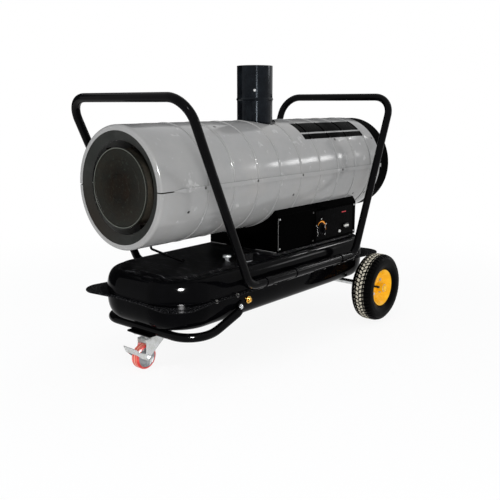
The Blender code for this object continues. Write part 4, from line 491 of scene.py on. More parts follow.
def tank_half(name, flange_face, seat, level, reach, roundness):
    """One drawn half: wall, flange and, on the upper half, the raised panel."""
    upper = level > seat
    toward = 1 if upper else -1
    walls = drawn_levels(flange_face + toward * FLANGE_ROOT, level, reach, roundness)
    rings = []
    if upper:
        slope = ((PANEL_SLOPE + PANEL_TURN, PANEL_RISE), (PANEL_SLOPE, PANEL_RISE - HAIR),
                 (PANEL_TURN, PANEL_TURN / 2), (0.0, HAIR), (-PANEL_TURN, 0.0))
        rings += [tank_ring(PANEL_INSET + a, level + b, RECESS_DEPTH) for a, b in slope]
    rings += [tank_ring(inset, height) for inset, height in reversed(walls)]
    rings += [tank_ring(-FLANGE_ROOT * a, flange_face + toward * FLANGE_ROOT * b)
              for a, b in FLANGE_ROOT_SHARES]
    rings += [flange_ring(flange_face, TANK_SHEET / 3), flange_ring((flange_face + seat) / 2),
              flange_ring(seat)]
    rings += [tank_ring(TANK_SHEET + inset, height - toward * TANK_SHEET) for inset, height in walls]
    if upper:
        inside = level - TANK_SHEET
        rings += [tank_ring(PANEL_INSET + TANK_SHEET, inside, RECESS_DEPTH),
                  tank_ring(PANEL_INSET + TANK_SHEET + PANEL_SLOPE, inside + PANEL_RISE, RECESS_DEPTH)]
    return shaped(name, lofted, rings)


def rounded(points, fillet, closed=True, steps=4):
    """The points of an outline with its corners rounded off; a third value is its own radius."""
    result = []
    count = len(points)
    for k, point in enumerate(points):
        here = Vector(point[:2])
        radius = point[2] if len(point) > 2 else fillet
        if radius == 0 or (not closed and k in (0, count - 1)):
            result.append(tuple(here))
            continue
        before = Vector(points[k - 1][:2]) - here
        after = Vector(points[(k + 1) % count][:2]) - here
        half_turn = before.angle(after) / 2
        reach = min(radius / math.tan(half_turn), before.length * 0.48, after.length * 0.48)
        start, end = here + before.normalized() * reach, here + after.normalized() * reach
        for step in range(steps + 1):
            t = step / steps
            result.append(tuple(start * (1 - t) ** 2 + here * 2 * t * (1 - t) + end * t ** 2))
    return result


def spun(bm, profile, centre, axis=UP, fillet=0.0, steps=64, bend_steps=4):
    """Spins (along, radius) points round an axis; a profile that starts on it stays open there."""
    closed = profile[0][1] > 0
    if fillet:
        profile = rounded(profile, fillet, closed, bend_steps)
    along = Vector(axis)
    across = along.orthogonal().normalized()
    middle = Vector(centre)
    rows = []
    for k in range(steps):
        outward = Matrix.Rotation(math.tau * k / steps, 3, along) @ across
        rows.append([bm.verts.new(middle + along * a + outward * r) for a, r in profile])
    count = len(profile)
    for here, after in zip(rows, rows[1:] + rows[:1]):
        for low in range(count if closed else count - 1):
            high = (low + 1) % count
            bm.faces.new((here[low], here[high], after[high], after[low]))


def rod(radius, low, high):
    """Profile of a plain round bar between two levels."""
    return (low, 0), (low, radius), (high, radius), (high, 0)


upper_tank = tank_half(
    "tank_upper", FLANGE_LEVEL + TANK_SHEET + HAIR, FLANGE_LEVEL + HAIR, TANK_HIGH - PANEL_RISE,
    SHOULDER_REACH, SHOULDER_ROUNDNESS)
carve(upper_tank, shaped(
    "filler_hole", spun, rod(FILLER_HOLE, *FILLER_HOLE_SPAN), (*FILLER_PLACE, TANK_HIGH)))
dress(upper_tank, coat_with_scratches_and_seam_highlight, "tank_upper_shell")
dress(tank_half(
    "tank_lower", FLANGE_LEVEL - TANK_SHEET - HAIR, FLANGE_LEVEL - HAIR, TANK_LOW, CHINE_REACH,
    CHINE_ROUNDNESS), black_coat, "tank_lower_shell")


# Screws and bolts: zinc plated hexagon and pan heads. Geometry Nodes set one head on each spot
# of a list, turned to face out of the surface there.

HEAD_SINK = 0.0004
WASHER_SHARE = 0.18
CROWN_SHARE = 0.88


def nodes_tree(name, sockets):
    """A new Geometry Nodes tree with named inputs; returns the tree and its inputs."""
    tree = bpy.data.node_groups.new(name, "GeometryNodeTree")
    for label, kind in sockets.items():
        tree.interface.new_socket(label, in_out="INPUT", socket_type="NodeSocket" + kind)
    tree.interface.new_socket("Geometry", in_out="OUTPUT", socket_type="NodeSocketGeometry")
    inputs = add_node(tree, "NodeGroupInput")
    return tree, {label: inputs.outputs[label] for label in sockets}


def closing(tree, shape, finish):
    """Ends a tree in plain geometry with its material."""
    plain = add_node(tree, "GeometryNodeRealizeInstances", {"Geometry": shape})
    painted = add_node(tree, "GeometryNodeSetMaterial", {"Geometry": plain, "Material": finish})
    add_node(tree, "NodeGroupOutput", {"Geometry": painted})


def grown(made, tree, **values):
    """Runs a tree on an object and keeps its result as the object's plain mesh."""
    run = made.modifiers.new(tree.name, "NODES")
    run.node_group = tree
    for item in tree.interface.items_tree:
        if item.in_out == "INPUT" and item.name in values:
            run[item.identifier] = values[item.name]
    return plain_mesh(made)


spots_tree, spots_in = nodes_tree(
    "heads_on_spots", {"Spots": "Geometry", "Head": "Object", "Finish": "Material"})
spots_head = add_node(spots_tree, "GeometryNodeObjectInfo", {"Object": spots_in["Head"]})
spots_facing = add_node(
    spots_tree, "GeometryNodeInputNamedAttribute", {"Name": "facing"}, data_type="FLOAT_VECTOR")
spots_turn = add_node(
    spots_tree, "FunctionNodeAlignRotationToVector", {"Vector": spots_facing}, axis="Z")
spots_set = add_node(
    spots_tree, "GeometryNodeInstanceOnPoints",
    {"Points": spots_in["Spots"], "Instance": spots_head.outputs["Geometry"], "Rotation": spots_turn})
closing(spots_tree, spots_set, spots_in["Finish"])


def fastened(name, head, finish, spots, body="chassis"):
    """Sets heads on (place, facing) spots and lets them ride on a body."""
    bm = bmesh.new()
    for place, facing in spots:
        bm.verts.new(Vector(place) - Vector(facing).normalized() * HEAD_SINK)
    base = object_of(name, bm)
    facings = base.data.attributes.new("facing", "FLOAT_VECTOR", "POINT")
    for k, (place, facing) in enumerate(spots):
        facings.data[k].vector = Vector(facing).normalized()
    grown(base, spots_tree, Head=head, Finish=finish)
    base.data.set_sharp_from_angle(angle=math.radians(34))
    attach(base, body)


def pattern(name, bm):
    """A shape that a tree repeats; it isn't shown itself."""
    made = solid(name, bm)
    made.data.shade_smooth()
    made.hide_render = True
    made.hide_viewport = True
    return made


def hex_head(name, radius, height, washer):
    """Hexagon head on a washer, rounded at its corners on top."""
    bm = bmesh.new()
    low, crown = height * WASHER_SHARE, height * CROWN_SHARE
    spun(bm, rod(washer, 0, low), (0, 0, 0), fillet=height * 0.06, steps=24, bend_steps=2)
    spun(bm, ((low, 0), (low, radius), (crown, radius), (height, radius * CROWN_SHARE), (height, 0)),
         (0, 0, 0), steps=6)
    return pattern(name, bm)


def pan_head(name, radius, height):
    """Plain domed screw head."""
    bm = bmesh.new()
    turns = [math.pi / 2 * k / 6 for k in range(7)]
    dome = [(height * math.sin(t), radius * math.cos(t)) for t in turns]
    spun(bm, [(0, 0), *dome], (0, 0, 0), steps=20)
    return pattern(name, bm)


# Bright zinc is a cool, slightly blotched mirror. The dark one is passivated to near black.
bright_zinc = coated(
    "bright_zinc_plating", "#C9CBCC", "#A3A39C", 14.0, 0.7, (0.20, 0.42), 0.8, 0.02, metallic=1.0)
dark_zinc = coated(
    "black_passivated_zinc", "#2A2A2C", "#8C8A84", 6.0, 0.5, (0.25, 0.5), 0.8, 0.02, metallic=0.8)

bolt_head = hex_head("flange_bolt_head", 0.0052, 0.0040, 0.0064)
FLANGE_BOLT_SIDE = 0.2156
FLANGE_BOLT_START = 0.190
FLANGE_BOLT_PITCH = 0.098
FLANGE_BOLTS = 9
CLIP_SPANS = ((0.371, 0.401), (0.530, 0.630), (0.812, 0.842))
CLIP_CLEAR = 0.008
flange_top = FLANGE_LEVEL + TANK_SHEET + HAIR
flange_low = FLANGE_LEVEL - TANK_SHEET - HAIR
flange_spots = []
for k in range(FLANGE_BOLTS):
    distance = FLANGE_BOLT_START + FLANGE_BOLT_PITCH * k
    if all(not low - CLIP_CLEAR < distance < high + CLIP_CLEAR for low, high in CLIP_SPANS):
        for side in (-1, 1):
            spot = (OUTLET + distance, side * FLANGE_BOLT_SIDE)
            flange_spots += [((*spot, flange_top), UP), ((*spot, flange_low), (0, 0, -1))]
fastened("tank_flange_bolts", bolt_head, dark_zinc, flange_spots)


# Filler: a turned steel neck on a small flange in the tank's recess, a sieve cup hanging in it,
# and a moulded black cap with a lobed grip that lifts off.

# The plastic is barely glossy with a fine moulded grain, and the chrome is a clean mirror.
black_plastic = coated(
    "moulded_black_plastic", "#060607", "#0E0E0F", 30.0, 0.5, (0.18, 0.30), 0.9, 0.03,
    Specular_IOR_Level=0.08)
polished_chrome = coated(
    "polished_chrome", "#F2F3F5", "#D2D4D8", 9.0, 0.5, (0.08, 0.18), 0.8, 0.01, metallic=0.6)
NECK_RADIUS = 0.0225
NECK_BORE = 0.0205
NECK_COLLAR = NECK_RADIUS + 0.005
NECK_BEAD = NECK_RADIUS + 0.0008
neck_place = (*FILLER_PLACE, TANK_HIGH - PANEL_RISE)
dress(shaped("filler_neck_tube", spun, (
    (-0.010, NECK_BORE), (-0.010, NECK_RADIUS), (0.0003, NECK_RADIUS, 0), (0.0003, NECK_COLLAR),
    (0.0018, NECK_COLLAR), (0.0018, NECK_RADIUS, 0), (0.006, NECK_RADIUS), (0.0068, NECK_BEAD),
    (0.0076, NECK_RADIUS), (0.014, NECK_RADIUS), (0.014, NECK_BORE)), neck_place, fillet=0.0004),
    polished_chrome, "filler_neck")

# The brass sieve is too fine to show wire by wire, so its grain is drawn at about a millimetre.
sieve = coated(
    "fine_brass_sieve", "#A99A62", "#6F6440", 1.2, 1.0, (0.3, 0.6), 0.9, 0.12, metallic=1.0)
SIEVE_RADIUS = NECK_BORE - 0.0004
SIEVE_SHEET = 0.001
SIEVE_CORNER = 0.003
sieve_low, sieve_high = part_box("fuel_strainer")
sieve_foot, sieve_rim = sieve_low.z - neck_place[2], sieve_high.z - neck_place[2]
dress(shaped("filler_sieve", spun, (
    (sieve_foot, 0), (sieve_foot, SIEVE_RADIUS, SIEVE_CORNER), (sieve_rim - SIEVE_SHEET, SIEVE_RADIUS),
    (sieve_rim - SIEVE_SHEET, NECK_RADIUS), (sieve_rim, NECK_RADIUS),
    (sieve_rim, SIEVE_RADIUS - SIEVE_SHEET),
    (sieve_foot + SIEVE_SHEET, SIEVE_RADIUS - SIEVE_SHEET, SIEVE_CORNER),
    (sieve_foot + SIEVE_SHEET, 0)), neck_place, fillet=0.0003), sieve, "fuel_strainer")

CAP_RADIUS = 0.0306
CAP_BORE = 0.0245
CAP_LOBES = 8
CAP_LOBE_DEPTH = 0.0020
CAP_POINTS = 96
cap_low, cap_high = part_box("fuel_cap")


def cap_ring(radius, height, lobe):
    """One level of the cap, with finger hollows of the given depth."""
    turns = [math.tau * k / CAP_POINTS for k in range(CAP_POINTS)]
    reach = [radius - lobe * max(0.0, math.cos(CAP_LOBES * t)) ** 3 for t in turns]
    return [(FILLER_PLACE[0] + r * math.cos(t), FILLER_PLACE[1] + r * math.sin(t), height)
            for r, t in zip(reach, turns)]


cap_outside = rounded((
    (cap_low.z, CAP_BORE + 0.0002, 0), (cap_low.z, CAP_RADIUS, 0.001),
    (cap_high.z - 0.004, CAP_RADIUS - 0.001, 0.003), (cap_high.z - 0.0005, CAP_RADIUS - 0.007, 0.002),
    (cap_high.z - 0.0005, 0.015, 0.002), (cap_high.z - 0.0015, 0.013, 0.001),
    (cap_high.z - 0.0015, 0.002, 0)), 0.001, closed=False)
dress(shaped("fuel_cap_grip", lofted, [cap_ring(CAP_BORE, sieve_high.z + 0.0004, 0.0)] + [
    cap_ring(radius, height, CAP_LOBE_DEPTH * (radius > 0.027)) for height, radius in cap_outside]),
    black_plastic, "fuel_cap", body="fuel_cap")


# Tank vent: a small chromed valve on the tank's top beside the filler, with a domed cap over its
# air gap.

VENT_PLACE = (OUTLET + 0.372, -0.096, TANK_HIGH - PANEL_RISE)
VENT_PROFILE = (
    (-0.001, 0), (-0.001, 0.0105), (0.0025, 0.0105), (0.0035, 0.0062), (0.0130, 0.0062),
    (0.0160, 0.0135, 0.002), (0.0200, 0.0150, 0.002), (0.0235, 0.0125, 0.005), (0.0250, 0.0))
dress(shaped("tank_vent", spun, VENT_PROFILE, VENT_PLACE, fillet=0.0006, steps=48),
      polished_chrome)


# Drain plug: a brass hexagon with a wide collar and a fibre seal, low on the control side.
# Turned brass is a warm mirror that browns in spots.

brass = coated("turned_brass", "#D9B160", "#8E6C34", 7.0, 0.8, (0.16, 0.4), 0.7, 0.02, metallic=1.0)
PLUG_COLLAR = 0.0120
PLUG_COLLAR_THICK = 0.003
PLUG_HEXAGON = (
    (PLUG_COLLAR_THICK, 0), (PLUG_COLLAR_THICK, 0.0086), (0.0088, 0.0086), (0.0100, 0.0074),
    (0.0100, 0.004), (0.0075, 0.0035), (0.0075, 0))
plug_low, plug_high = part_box("drain_plug")
plug_centre = ((plug_low.x + plug_high.x) / 2, plug_high.y, (plug_low.z + plug_high.z) / 2)
bm = bmesh.new()
spun(bm, rod(PLUG_COLLAR, 0, PLUG_COLLAR_THICK), plug_centre, (0, -1, 0), fillet=0.0008)
spun(bm, PLUG_HEXAGON, plug_centre, (0, -1, 0), steps=6)
dress(solid("drain_plug_hexagon", bm), brass, "drain_plug", crease=30)


# Front frame tube: steel tube bent round under the tank's nose and up to its sides, where its
# ends are pressed flat and bolted on. A flat plate for the caster is welded below. Gloss black
# powder coat, a little thinner on the bends.


def bent_line(corners, bends, steps=12):
    """Points along straight runs that round bends join."""
    corners = [Vector(corner) for corner in corners]
    points = [corners[0]]
    for before, corner, after, bend in zip(corners, corners[1:], corners[2:], bends):
        coming = (corner - before).normalized()
        going = (after - corner).normalized()
        turn = coming.angle(going)
        start = corner - coming * bend * math.tan(turn / 2)
        axis = coming.cross(going).normalized()
        middle = start + axis.cross(coming) * bend
        points += [middle + Matrix.Rotation(turn * k / steps, 3, axis) @ (start - middle)
                   for k in range(steps + 1)]
    return points + [corners[-1]]


def swept(bm, points, radius, sides=24, press=None):
    """Skins a round bar along the points; press may reshape each point's ring."""
    heading = (points[1] - points[0]).normalized()
    across = heading.orthogonal().normalized()
    rings = []
    for k, point in enumerate(points):
        before = points[max(k - 1, 0)]
        after = points[min(k + 1, len(points) - 1)]
        now = (after - before).normalized()
        across = heading.rotation_difference(now) @ across
        heading = now
        ring = [point + Matrix.Rotation(math.tau * s / sides, 3, heading) @ across * radius
                for s in range(sides)]
        rings.append(press(k, point, ring) if press else ring)
    lofted(bm, rings)


def mirrored(half):
    """Points of one half of an outline, and their mirror images."""
    return [*half, *((-a, *rest) for a, *rest in reversed(half))]


TUBE_RADIUS = 0.014
TUBE_SEAT_GAP = 0.0003
FRAME_SIDE = 0.205
FRAME_END = (0.280, 0.222, 0.179)
FRAME_KNEE = 0.190
FRAME_NOSE = 0.085
FRAME_BENDS = (0.090, 0.075, 0.075, 0.090)
LUG_SIDE = 0.2098
LUG_HALF = 0.0035
LUG_SPREAD = 1.25
LUG_HEIGHT_SHARES = (0.55, 1.0, 1.0, 1.0)
LUG_STATIONS = (0.016, 0.020, 0.040, 0.0455)
LUG_BOLT = (0.308, 0.192)
frame_height = TANK_LOW - TUBE_SEAT_GAP - TUBE_RADIUS
rise = Vector((FRAME_END[0] - FRAME_KNEE, 0, FRAME_END[2] - frame_height)).normalized()
frame_half = [(OUTLET + FRAME_END[0], *FRAME_END[1:]), (OUTLET + FRAME_KNEE, FRAME_SIDE, frame_height),
              (OUTLET + FRAME_NOSE, FRAME_SIDE, frame_height)]
frame_line = bent_line(
    frame_half + [(x, -y, z) for x, y, z in reversed(frame_half)], FRAME_BENDS)
ends = []
for end in (frame_line[0], frame_line[-1]):
    flat = Vector((end.x, math.copysign(LUG_SIDE, end.y), end.z))
    ends.append([end + rise * 0.006] + [flat + rise * reach for reach in LUG_STATIONS])
frame_line = ends[0][::-1] + frame_line + ends[1]


def press_flat(k, point, ring):
    """Presses the tube's last stretch into a lug with a rounded tip."""
    from_end = min(k, len(frame_line) - 1 - k)
    if from_end >= len(LUG_HEIGHT_SHARES):
        return ring
    tall = LUG_HEIGHT_SHARES[from_end] * LUG_SPREAD
    return [point + Vector((0, (spot - point).y * LUG_HALF / TUBE_RADIUS, (spot - point).z * tall))
            for spot in ring]


tube_coat = coated(
    "black_coated_tube", "#040405", "#09090A", 60.0, 0.6, (0.09, 0.15), 2.0, 0.015,
    Specular_IOR_Level=0.05)
dress(shaped("front_frame_bend", swept, frame_line, TUBE_RADIUS, press=press_flat),
      tube_coat, "front_frame_tube")


def prism(bm, outline, low, high, axis):
    """Extrudes a flat outline between two levels along an axis."""
    lofted(bm, [[(*point[:axis], level, *point[axis:]) for point in outline] for level in (low, high)])


def slab(bm, low, high, corner, axis=2):
    """A plate between two corners with round plan corners, thin along the axis."""
    (a0, b0), (a1, b1) = [[*place[:axis], *place[axis + 1:]] for place in (low, high)]
    outline = rounded(((a0, b0), (a1, b0), (a1, b1), (a0, b1)), corner, steps=5)
    prism(bm, outline, low[axis], high[axis], axis)


SWIVEL_X = OUTLET + 0.110
CARRIER_HALF = (0.054, 0.055)
CARRIER_SHEET = 0.0042
carrier_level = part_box("front_frame_tube")[0].z
dress(shaped(
    "caster_carrier_plate", slab, (SWIVEL_X - CARRIER_HALF[0], -CARRIER_HALF[1], carrier_level),
    (SWIVEL_X + CARRIER_HALF[0], CARRIER_HALF[1], carrier_level + CARRIER_SHEET), 0.008),
    tube_coat, edge=0.0006)

lug_bolt = hex_head("lug_bolt_head", 0.0070, 0.0050, 0.0090)
fastened("frame_lug_bolts", lug_bolt, bright_zinc, [
    ((OUTLET + LUG_BOLT[0], side * (LUG_SIDE + LUG_HALF), LUG_BOLT[1]), (0, side, 0))
    for side in (-1, 1)])


# Caster: a zinc plated swivel fork with a ball race under its bolted plate, a red polyurethane
# tread on a grey moulded hub, and a foot brake whose two arms turn on the axle bolt.

PLATE_BOLT_REACH = (0.040, 0.026)
plate_low, plate_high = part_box("caster_plate")
dress(shaped("caster_top_plate", slab, plate_low, plate_high, 0.007),
      bright_zinc, "caster_plate", edge=0.0005)
caster_bolt = hex_head("caster_bolt_head", 0.0062, 0.0046, 0.0078)
fastened("caster_plate_bolts", caster_bolt, bright_zinc, [
    ((SWIVEL_X + along * PLATE_BOLT_REACH[0], across * PLATE_BOLT_REACH[1], plate_low.z), (0, 0, -1))
    for along in (-1, 1) for across in (-1, 1)])

CASTER_RADIUS = 0.040
CASTER_AXLE = Vector((OUTLET + 0.078, 0.0, CASTER_RADIUS))
FORK_TOP = 0.100
FORK_INSIDE = 0.019
FORK_OUTSIDE = 0.0215
FORK_HALF = 0.038
FORK_CROWN = 0.014
FORK_SHEET = 0.0025
fork_outline = rounded((
    (SWIVEL_X - FORK_HALF, FORK_TOP, 0.004), (SWIVEL_X - FORK_HALF, FORK_TOP - FORK_CROWN, 0.004),
    (CASTER_AXLE.x - 0.011, CASTER_AXLE.z + 0.002, 0.003),
    (CASTER_AXLE.x - 0.009, CASTER_AXLE.z - 0.009, 0.009),
    (CASTER_AXLE.x + 0.009, CASTER_AXLE.z - 0.0105, 0.009),
    (CASTER_AXLE.x + 0.012, CASTER_AXLE.z + 0.002, 0.004),
    (SWIVEL_X + FORK_HALF, FORK_TOP - FORK_CROWN, 0.012), (SWIVEL_X + FORK_HALF, FORK_TOP, 0.004)),
    0.003)
fork = shaped("caster_fork_pressing", prism, fork_outline, -FORK_OUTSIDE, FORK_OUTSIDE, 1)
carve(fork, shaped("fork_hollow", slab, (SWIVEL_X - 0.09, -FORK_INSIDE, 0.0),
                   (SWIVEL_X + 0.09, FORK_INSIDE, FORK_TOP - FORK_SHEET), 0.002))
dress(fork, bright_zinc, "caster_fork", body="caster_swivel", edge=0.0007)
race_top = plate_low.z - 0.0003
dress(shaped("caster_ball_race", spun, (
    (FORK_TOP - 0.001, 0), (FORK_TOP - 0.001, 0.0255), (FORK_TOP + 0.004, 0.0258),
    (FORK_TOP + 0.006, 0.0235), (FORK_TOP + 0.008, 0.0235), (FORK_TOP + 0.010, 0.0258),
    (race_top, 0.0245), (race_top, 0)), (SWIVEL_X, 0, 0), fillet=0.0012),
    bright_zinc, body="caster_swivel")

BOLT_HEAD_THICK = 0.005
BOLT_HEAD_RADIUS = 0.0069
BOLT_RADIUS = 0.004
head_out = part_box("caster_axle")[1].y
bolt_end = head_out - 0.004
bm = bmesh.new()
for side in (-1, 1):
    spun(bm, ((head_out - BOLT_HEAD_THICK, 0), (head_out - BOLT_HEAD_THICK, BOLT_HEAD_RADIUS),
              (head_out - 0.0008, BOLT_HEAD_RADIUS), (head_out, 0.0060), (head_out, 0)),
         CASTER_AXLE, (0, side, 0), steps=6)
spun(bm, rod(BOLT_RADIUS, -bolt_end, bolt_end), CASTER_AXLE, ACROSS, steps=24)
dress(solid("caster_axle_bolt", bm), bright_zinc, "caster_axle", body="caster_swivel",
      crease=30)

# The tread is cast in red polyurethane that light enters, with a paler crown and fine mould lines.
MOULD_LINE_PITCH = 0.009817
red_tread = coated(
    "red_polyurethane", "#D2271F", "#E24A3C", 12.0, 0.7, (0.28, 0.46), 1.2, 0.02,
    Subsurface_Weight=0.25, Subsurface_Scale=0.004)
tread_tree = red_tread.node_tree
tread_place = add_node(
    tread_tree, "ShaderNodeSeparateXYZ", {0: add_node(tread_tree, "ShaderNodeTexCoord").outputs["Object"]})
tread_phase = add_node(
    tread_tree, "ShaderNodeMath", {0: tread_place.outputs["Y"], 1: math.tau / MOULD_LINE_PITCH},
    operation="MULTIPLY")
tread_wave = add_node(tread_tree, "ShaderNodeMath", {0: tread_phase}, operation="COSINE")
tread_lines = add_node(
    tread_tree, "ShaderNodeMapRange", {"Value": tread_wave, "From Min": -0.2, "From Max": 0.5})
tread_across = add_node(
    tread_tree, "ShaderNodeMath", {0: tread_place.outputs["Y"]}, operation="ABSOLUTE")
tread_near = add_node(
    tread_tree, "ShaderNodeMapRange",
    {"Value": tread_across, "From Min": 0.0100, "From Max": 0.0085})
tinted(red_tread, add_node(
    tread_tree, "ShaderNodeMath", {0: tread_lines, 1: tread_near}, operation="MULTIPLY"), "#F0B49C")

TREAD_HALF = (
    (0.0160, 0.0333), (0.0160, 0.0355, 0.002), (0.0128, 0.0392, 0.003), (0.0095, 0.0400, 0.001),
    (0.0090, 0.0394, 0.0005), (0.0082, 0.0394, 0.0005), (0.0077, 0.0400, 0.001))
dress(shaped("caster_tread", spun, mirrored(TREAD_HALF), CASTER_AXLE, ACROSS, 0.0004, 72, 3),
      red_tread, "caster_tyre", body="caster_wheel")
# Moulded nylon is a soft mid grey with a silky, slightly uneven skin.
grey_hub = coated("grey_moulded_nylon", "#8C8F92", "#A7A9AB", 16.0, 0.6, (0.34, 0.52), 1.0, 0.03)
HUB_HALF = (
    (0.018, 0.0044), (0.018, 0.011), (0.0085, 0.0125, 0.002), (0.0065, 0.018, 0.003),
    (0.0065, 0.0255, 0.002), (0.0135, 0.0295), (0.0158, 0.0326))
dress(shaped("caster_hub_moulding", spun, mirrored(HUB_HALF), CASTER_AXLE, ACROSS, 0.0008, 64, 3),
      grey_hub, "caster_hub", body="caster_wheel")

YOKE_INSIDE = 0.0225
YOKE_OUTSIDE = 0.0247
YOKE_SHEET = 0.0022
EYE_RADIUS = 0.0100
PEDAL_HEEL = Vector((-0.052, 0.024))
PEDAL_TIP = Vector((-0.062, 0.045))
ARM_TOP = (-0.030, 0.0235)
ARM_FOOT = (-0.030, 0.0045)
slope = (PEDAL_TIP - PEDAL_HEEL).normalized()
inward = Vector((slope.y, -slope.x)) * YOKE_SHEET
low = PEDAL_HEEL + inward - slope * 0.02
high = PEDAL_TIP + inward + slope * 0.02
arm = [*arc((0.0, 0.0), EYE_RADIUS, -90, 180, 14), ARM_TOP, PEDAL_TIP + inward, PEDAL_TIP, PEDAL_HEEL,
       ARM_FOOT]
hollow = [low, high, (0.03, high.y), (0.03, -0.03), (low.x, -0.03)]
arm, hollow = ([(CASTER_AXLE.x + a, CASTER_AXLE.z + b) for a, b in line] for line in (arm, hollow))
brake = shaped("caster_brake_pedal", prism, arm, -YOKE_OUTSIDE, YOKE_OUTSIDE, 1)
carve(brake, shaped("pedal_hollow", prism, hollow, -YOKE_INSIDE, YOKE_INSIDE, 1))
dress(brake, bright_zinc, "caster_brake", body="caster_brake", edge=0.0006)


# Axle: a bright steel bar under the tank with a collar inside each wheel and a pressed cap
# outside. Its folded bracket is welded to the tank and coated with it.

AXLE_HEIGHT = 0.130
AXLE_RADIUS = 0.0100
COLLAR_RADIUS = 0.0148
COLLAR_WIDTH = 0.006
HUB_END = 0.2614
AXLE_CAP_PROFILE = (
    (0.3407, 0), (0.3407, 0.0104), (0.3387, 0.0104), (0.3387, 0.0126), (0.3420, 0.0126, 0.002),
    (0.3435, 0.0090, 0.002), (0.3435, 0))
SIDES = {"left": -1, "right": 1}
axle_low, axle_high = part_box("wheel_axle")
axle_centre = Vector(((axle_low.x + axle_high.x) / 2, 0.0, AXLE_HEIGHT))
axle_half = [
    (axle_high.y, 0), (axle_high.y, AXLE_RADIUS), (HUB_END, AXLE_RADIUS), (HUB_END, COLLAR_RADIUS),
    (HUB_END - COLLAR_WIDTH, COLLAR_RADIUS), (HUB_END - COLLAR_WIDTH, AXLE_RADIUS)]
dress(shaped("wheel_axle_bar", spun, mirrored(axle_half), axle_centre, ACROSS, 0.0006, 40),
      bright_zinc, "wheel_axle")
# The rims' paint is a warm orange enamel, glossy and slightly mottled, and the caps have it too.
rim_orange = coated(
    "orange_rim_paint", "#F8B414", "#FFC424", 40.0, 0.8, (0.18, 0.34), 1.6, 0.03,
    Specular_IOR_Level=0.2)
for label, side in SIDES.items():
    dress(shaped(label + "_axle_end_cap", spun, AXLE_CAP_PROFILE, axle_centre, (0, side, 0), 0.0005, 40),
          rim_orange, label + "_axle_cap")


def painted_as_made(name, finish):
    """Gives a CAD node that shows as it is a finish of its own."""
    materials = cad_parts[name].data.materials
    materials.clear()
    materials.append(finish)


painted_as_made("axle_bracket", tube_coat)


# Wheels: pneumatic tyres with two rows of turf blocks and ribbed shoulders, on orange painted
# steel rims pressed in two halves and bolted together, with a rubber valve through the dish.

WHEEL_RADIUS = 0.130
WHEEL_SIDE = 0.300
BLOCK_PITCHES = 50
BLOCK_HEIGHT = 0.0052
BLOCK_SINK = 0.0002
CROWN_BLOCKS = ((0.0068, 0.0), (-0.0068, 0.5))
CROWN_LEAN_SHARE = 0.3
SHOULDER_LUGS = ((0.0180, 0.0300, 0.0004, 0.0042), (0.0312, 0.0408, 0.0050, 0.0172))
SHOULDER_SHIFT_SHARE = 0.25
CARCASS = WHEEL_RADIUS - BLOCK_HEIGHT

# The rubber is dull and black, its block tops are worn pale, and dust lies between them.
tyre_rubber = coated(
    "black_tyre_rubber", "#020202", "#050505", 25.0, 0.7, (0.32, 0.50), 1.1, 0.05,
    Specular_IOR_Level=0.03)
tread_dust = coated(
    "dusty_tread_floor", "#0E0D0C", "#1B1916", 9.0, 0.8, (0.7, 0.95), 1.4, 0.10,
    Specular_IOR_Level=0.1)
crown_tree = tyre_rubber.node_tree
crown_centred = add_node(crown_tree, "ShaderNodeMapping", {
    "Vector": add_node(crown_tree, "ShaderNodeTexCoord").outputs["Object"],
    "Location": (-axle_centre.x, 0.0, -axle_centre.z), "Scale": (1.0, 0.0, 1.0)})
crown_reach = add_node(crown_tree, "ShaderNodeVectorMath", {0: crown_centred}, operation="LENGTH")
tinted(tyre_rubber, add_node(
    crown_tree, "ShaderNodeMapRange",
    {"Value": crown_reach.outputs["Value"], "From Min": WHEEL_RADIUS - 0.0012,
     "From Max": WHEEL_RADIUS - 0.0005, "To Max": 0.92}), "#DCD5C2")

ring_tree, ring_in = nodes_tree("shapes_round_an_axis", {
    "Geometry": "Geometry", "Shape": "Object", "Count": "Int", "Radius": "Float",
    "Axis": "Vector", "Centre": "Vector", "Finish": "Material"})
ring_circle = add_node(
    ring_tree, "GeometryNodeMeshCircle", {"Vertices": ring_in["Count"], "Radius": ring_in["Radius"]})
ring_upright = add_node(
    ring_tree, "FunctionNodeAlignRotationToVector", {"Vector": ring_in["Axis"]}, axis="Z")
ring_tipped = add_node(
    ring_tree, "GeometryNodeTransform", {"Geometry": ring_circle, "Rotation": ring_upright})
ring_shape = add_node(ring_tree, "GeometryNodeObjectInfo", {"Object": ring_in["Shape"]})
ring_facing = add_node(
    ring_tree, "FunctionNodeAxesToRotation",
    {"Primary Axis": add_node(ring_tree, "GeometryNodeInputPosition"),
     "Secondary Axis": ring_in["Axis"]}, primary_axis="Z", secondary_axis="Y")
ring_set = add_node(
    ring_tree, "GeometryNodeInstanceOnPoints",
    {"Points": ring_tipped, "Instance": ring_shape.outputs["Geometry"], "Rotation": ring_facing})
ring_placed = add_node(
    ring_tree, "GeometryNodeTransform", {"Geometry": ring_set, "Translation": ring_in["Centre"]})
closing(ring_tree, ring_placed, ring_in["Finish"])


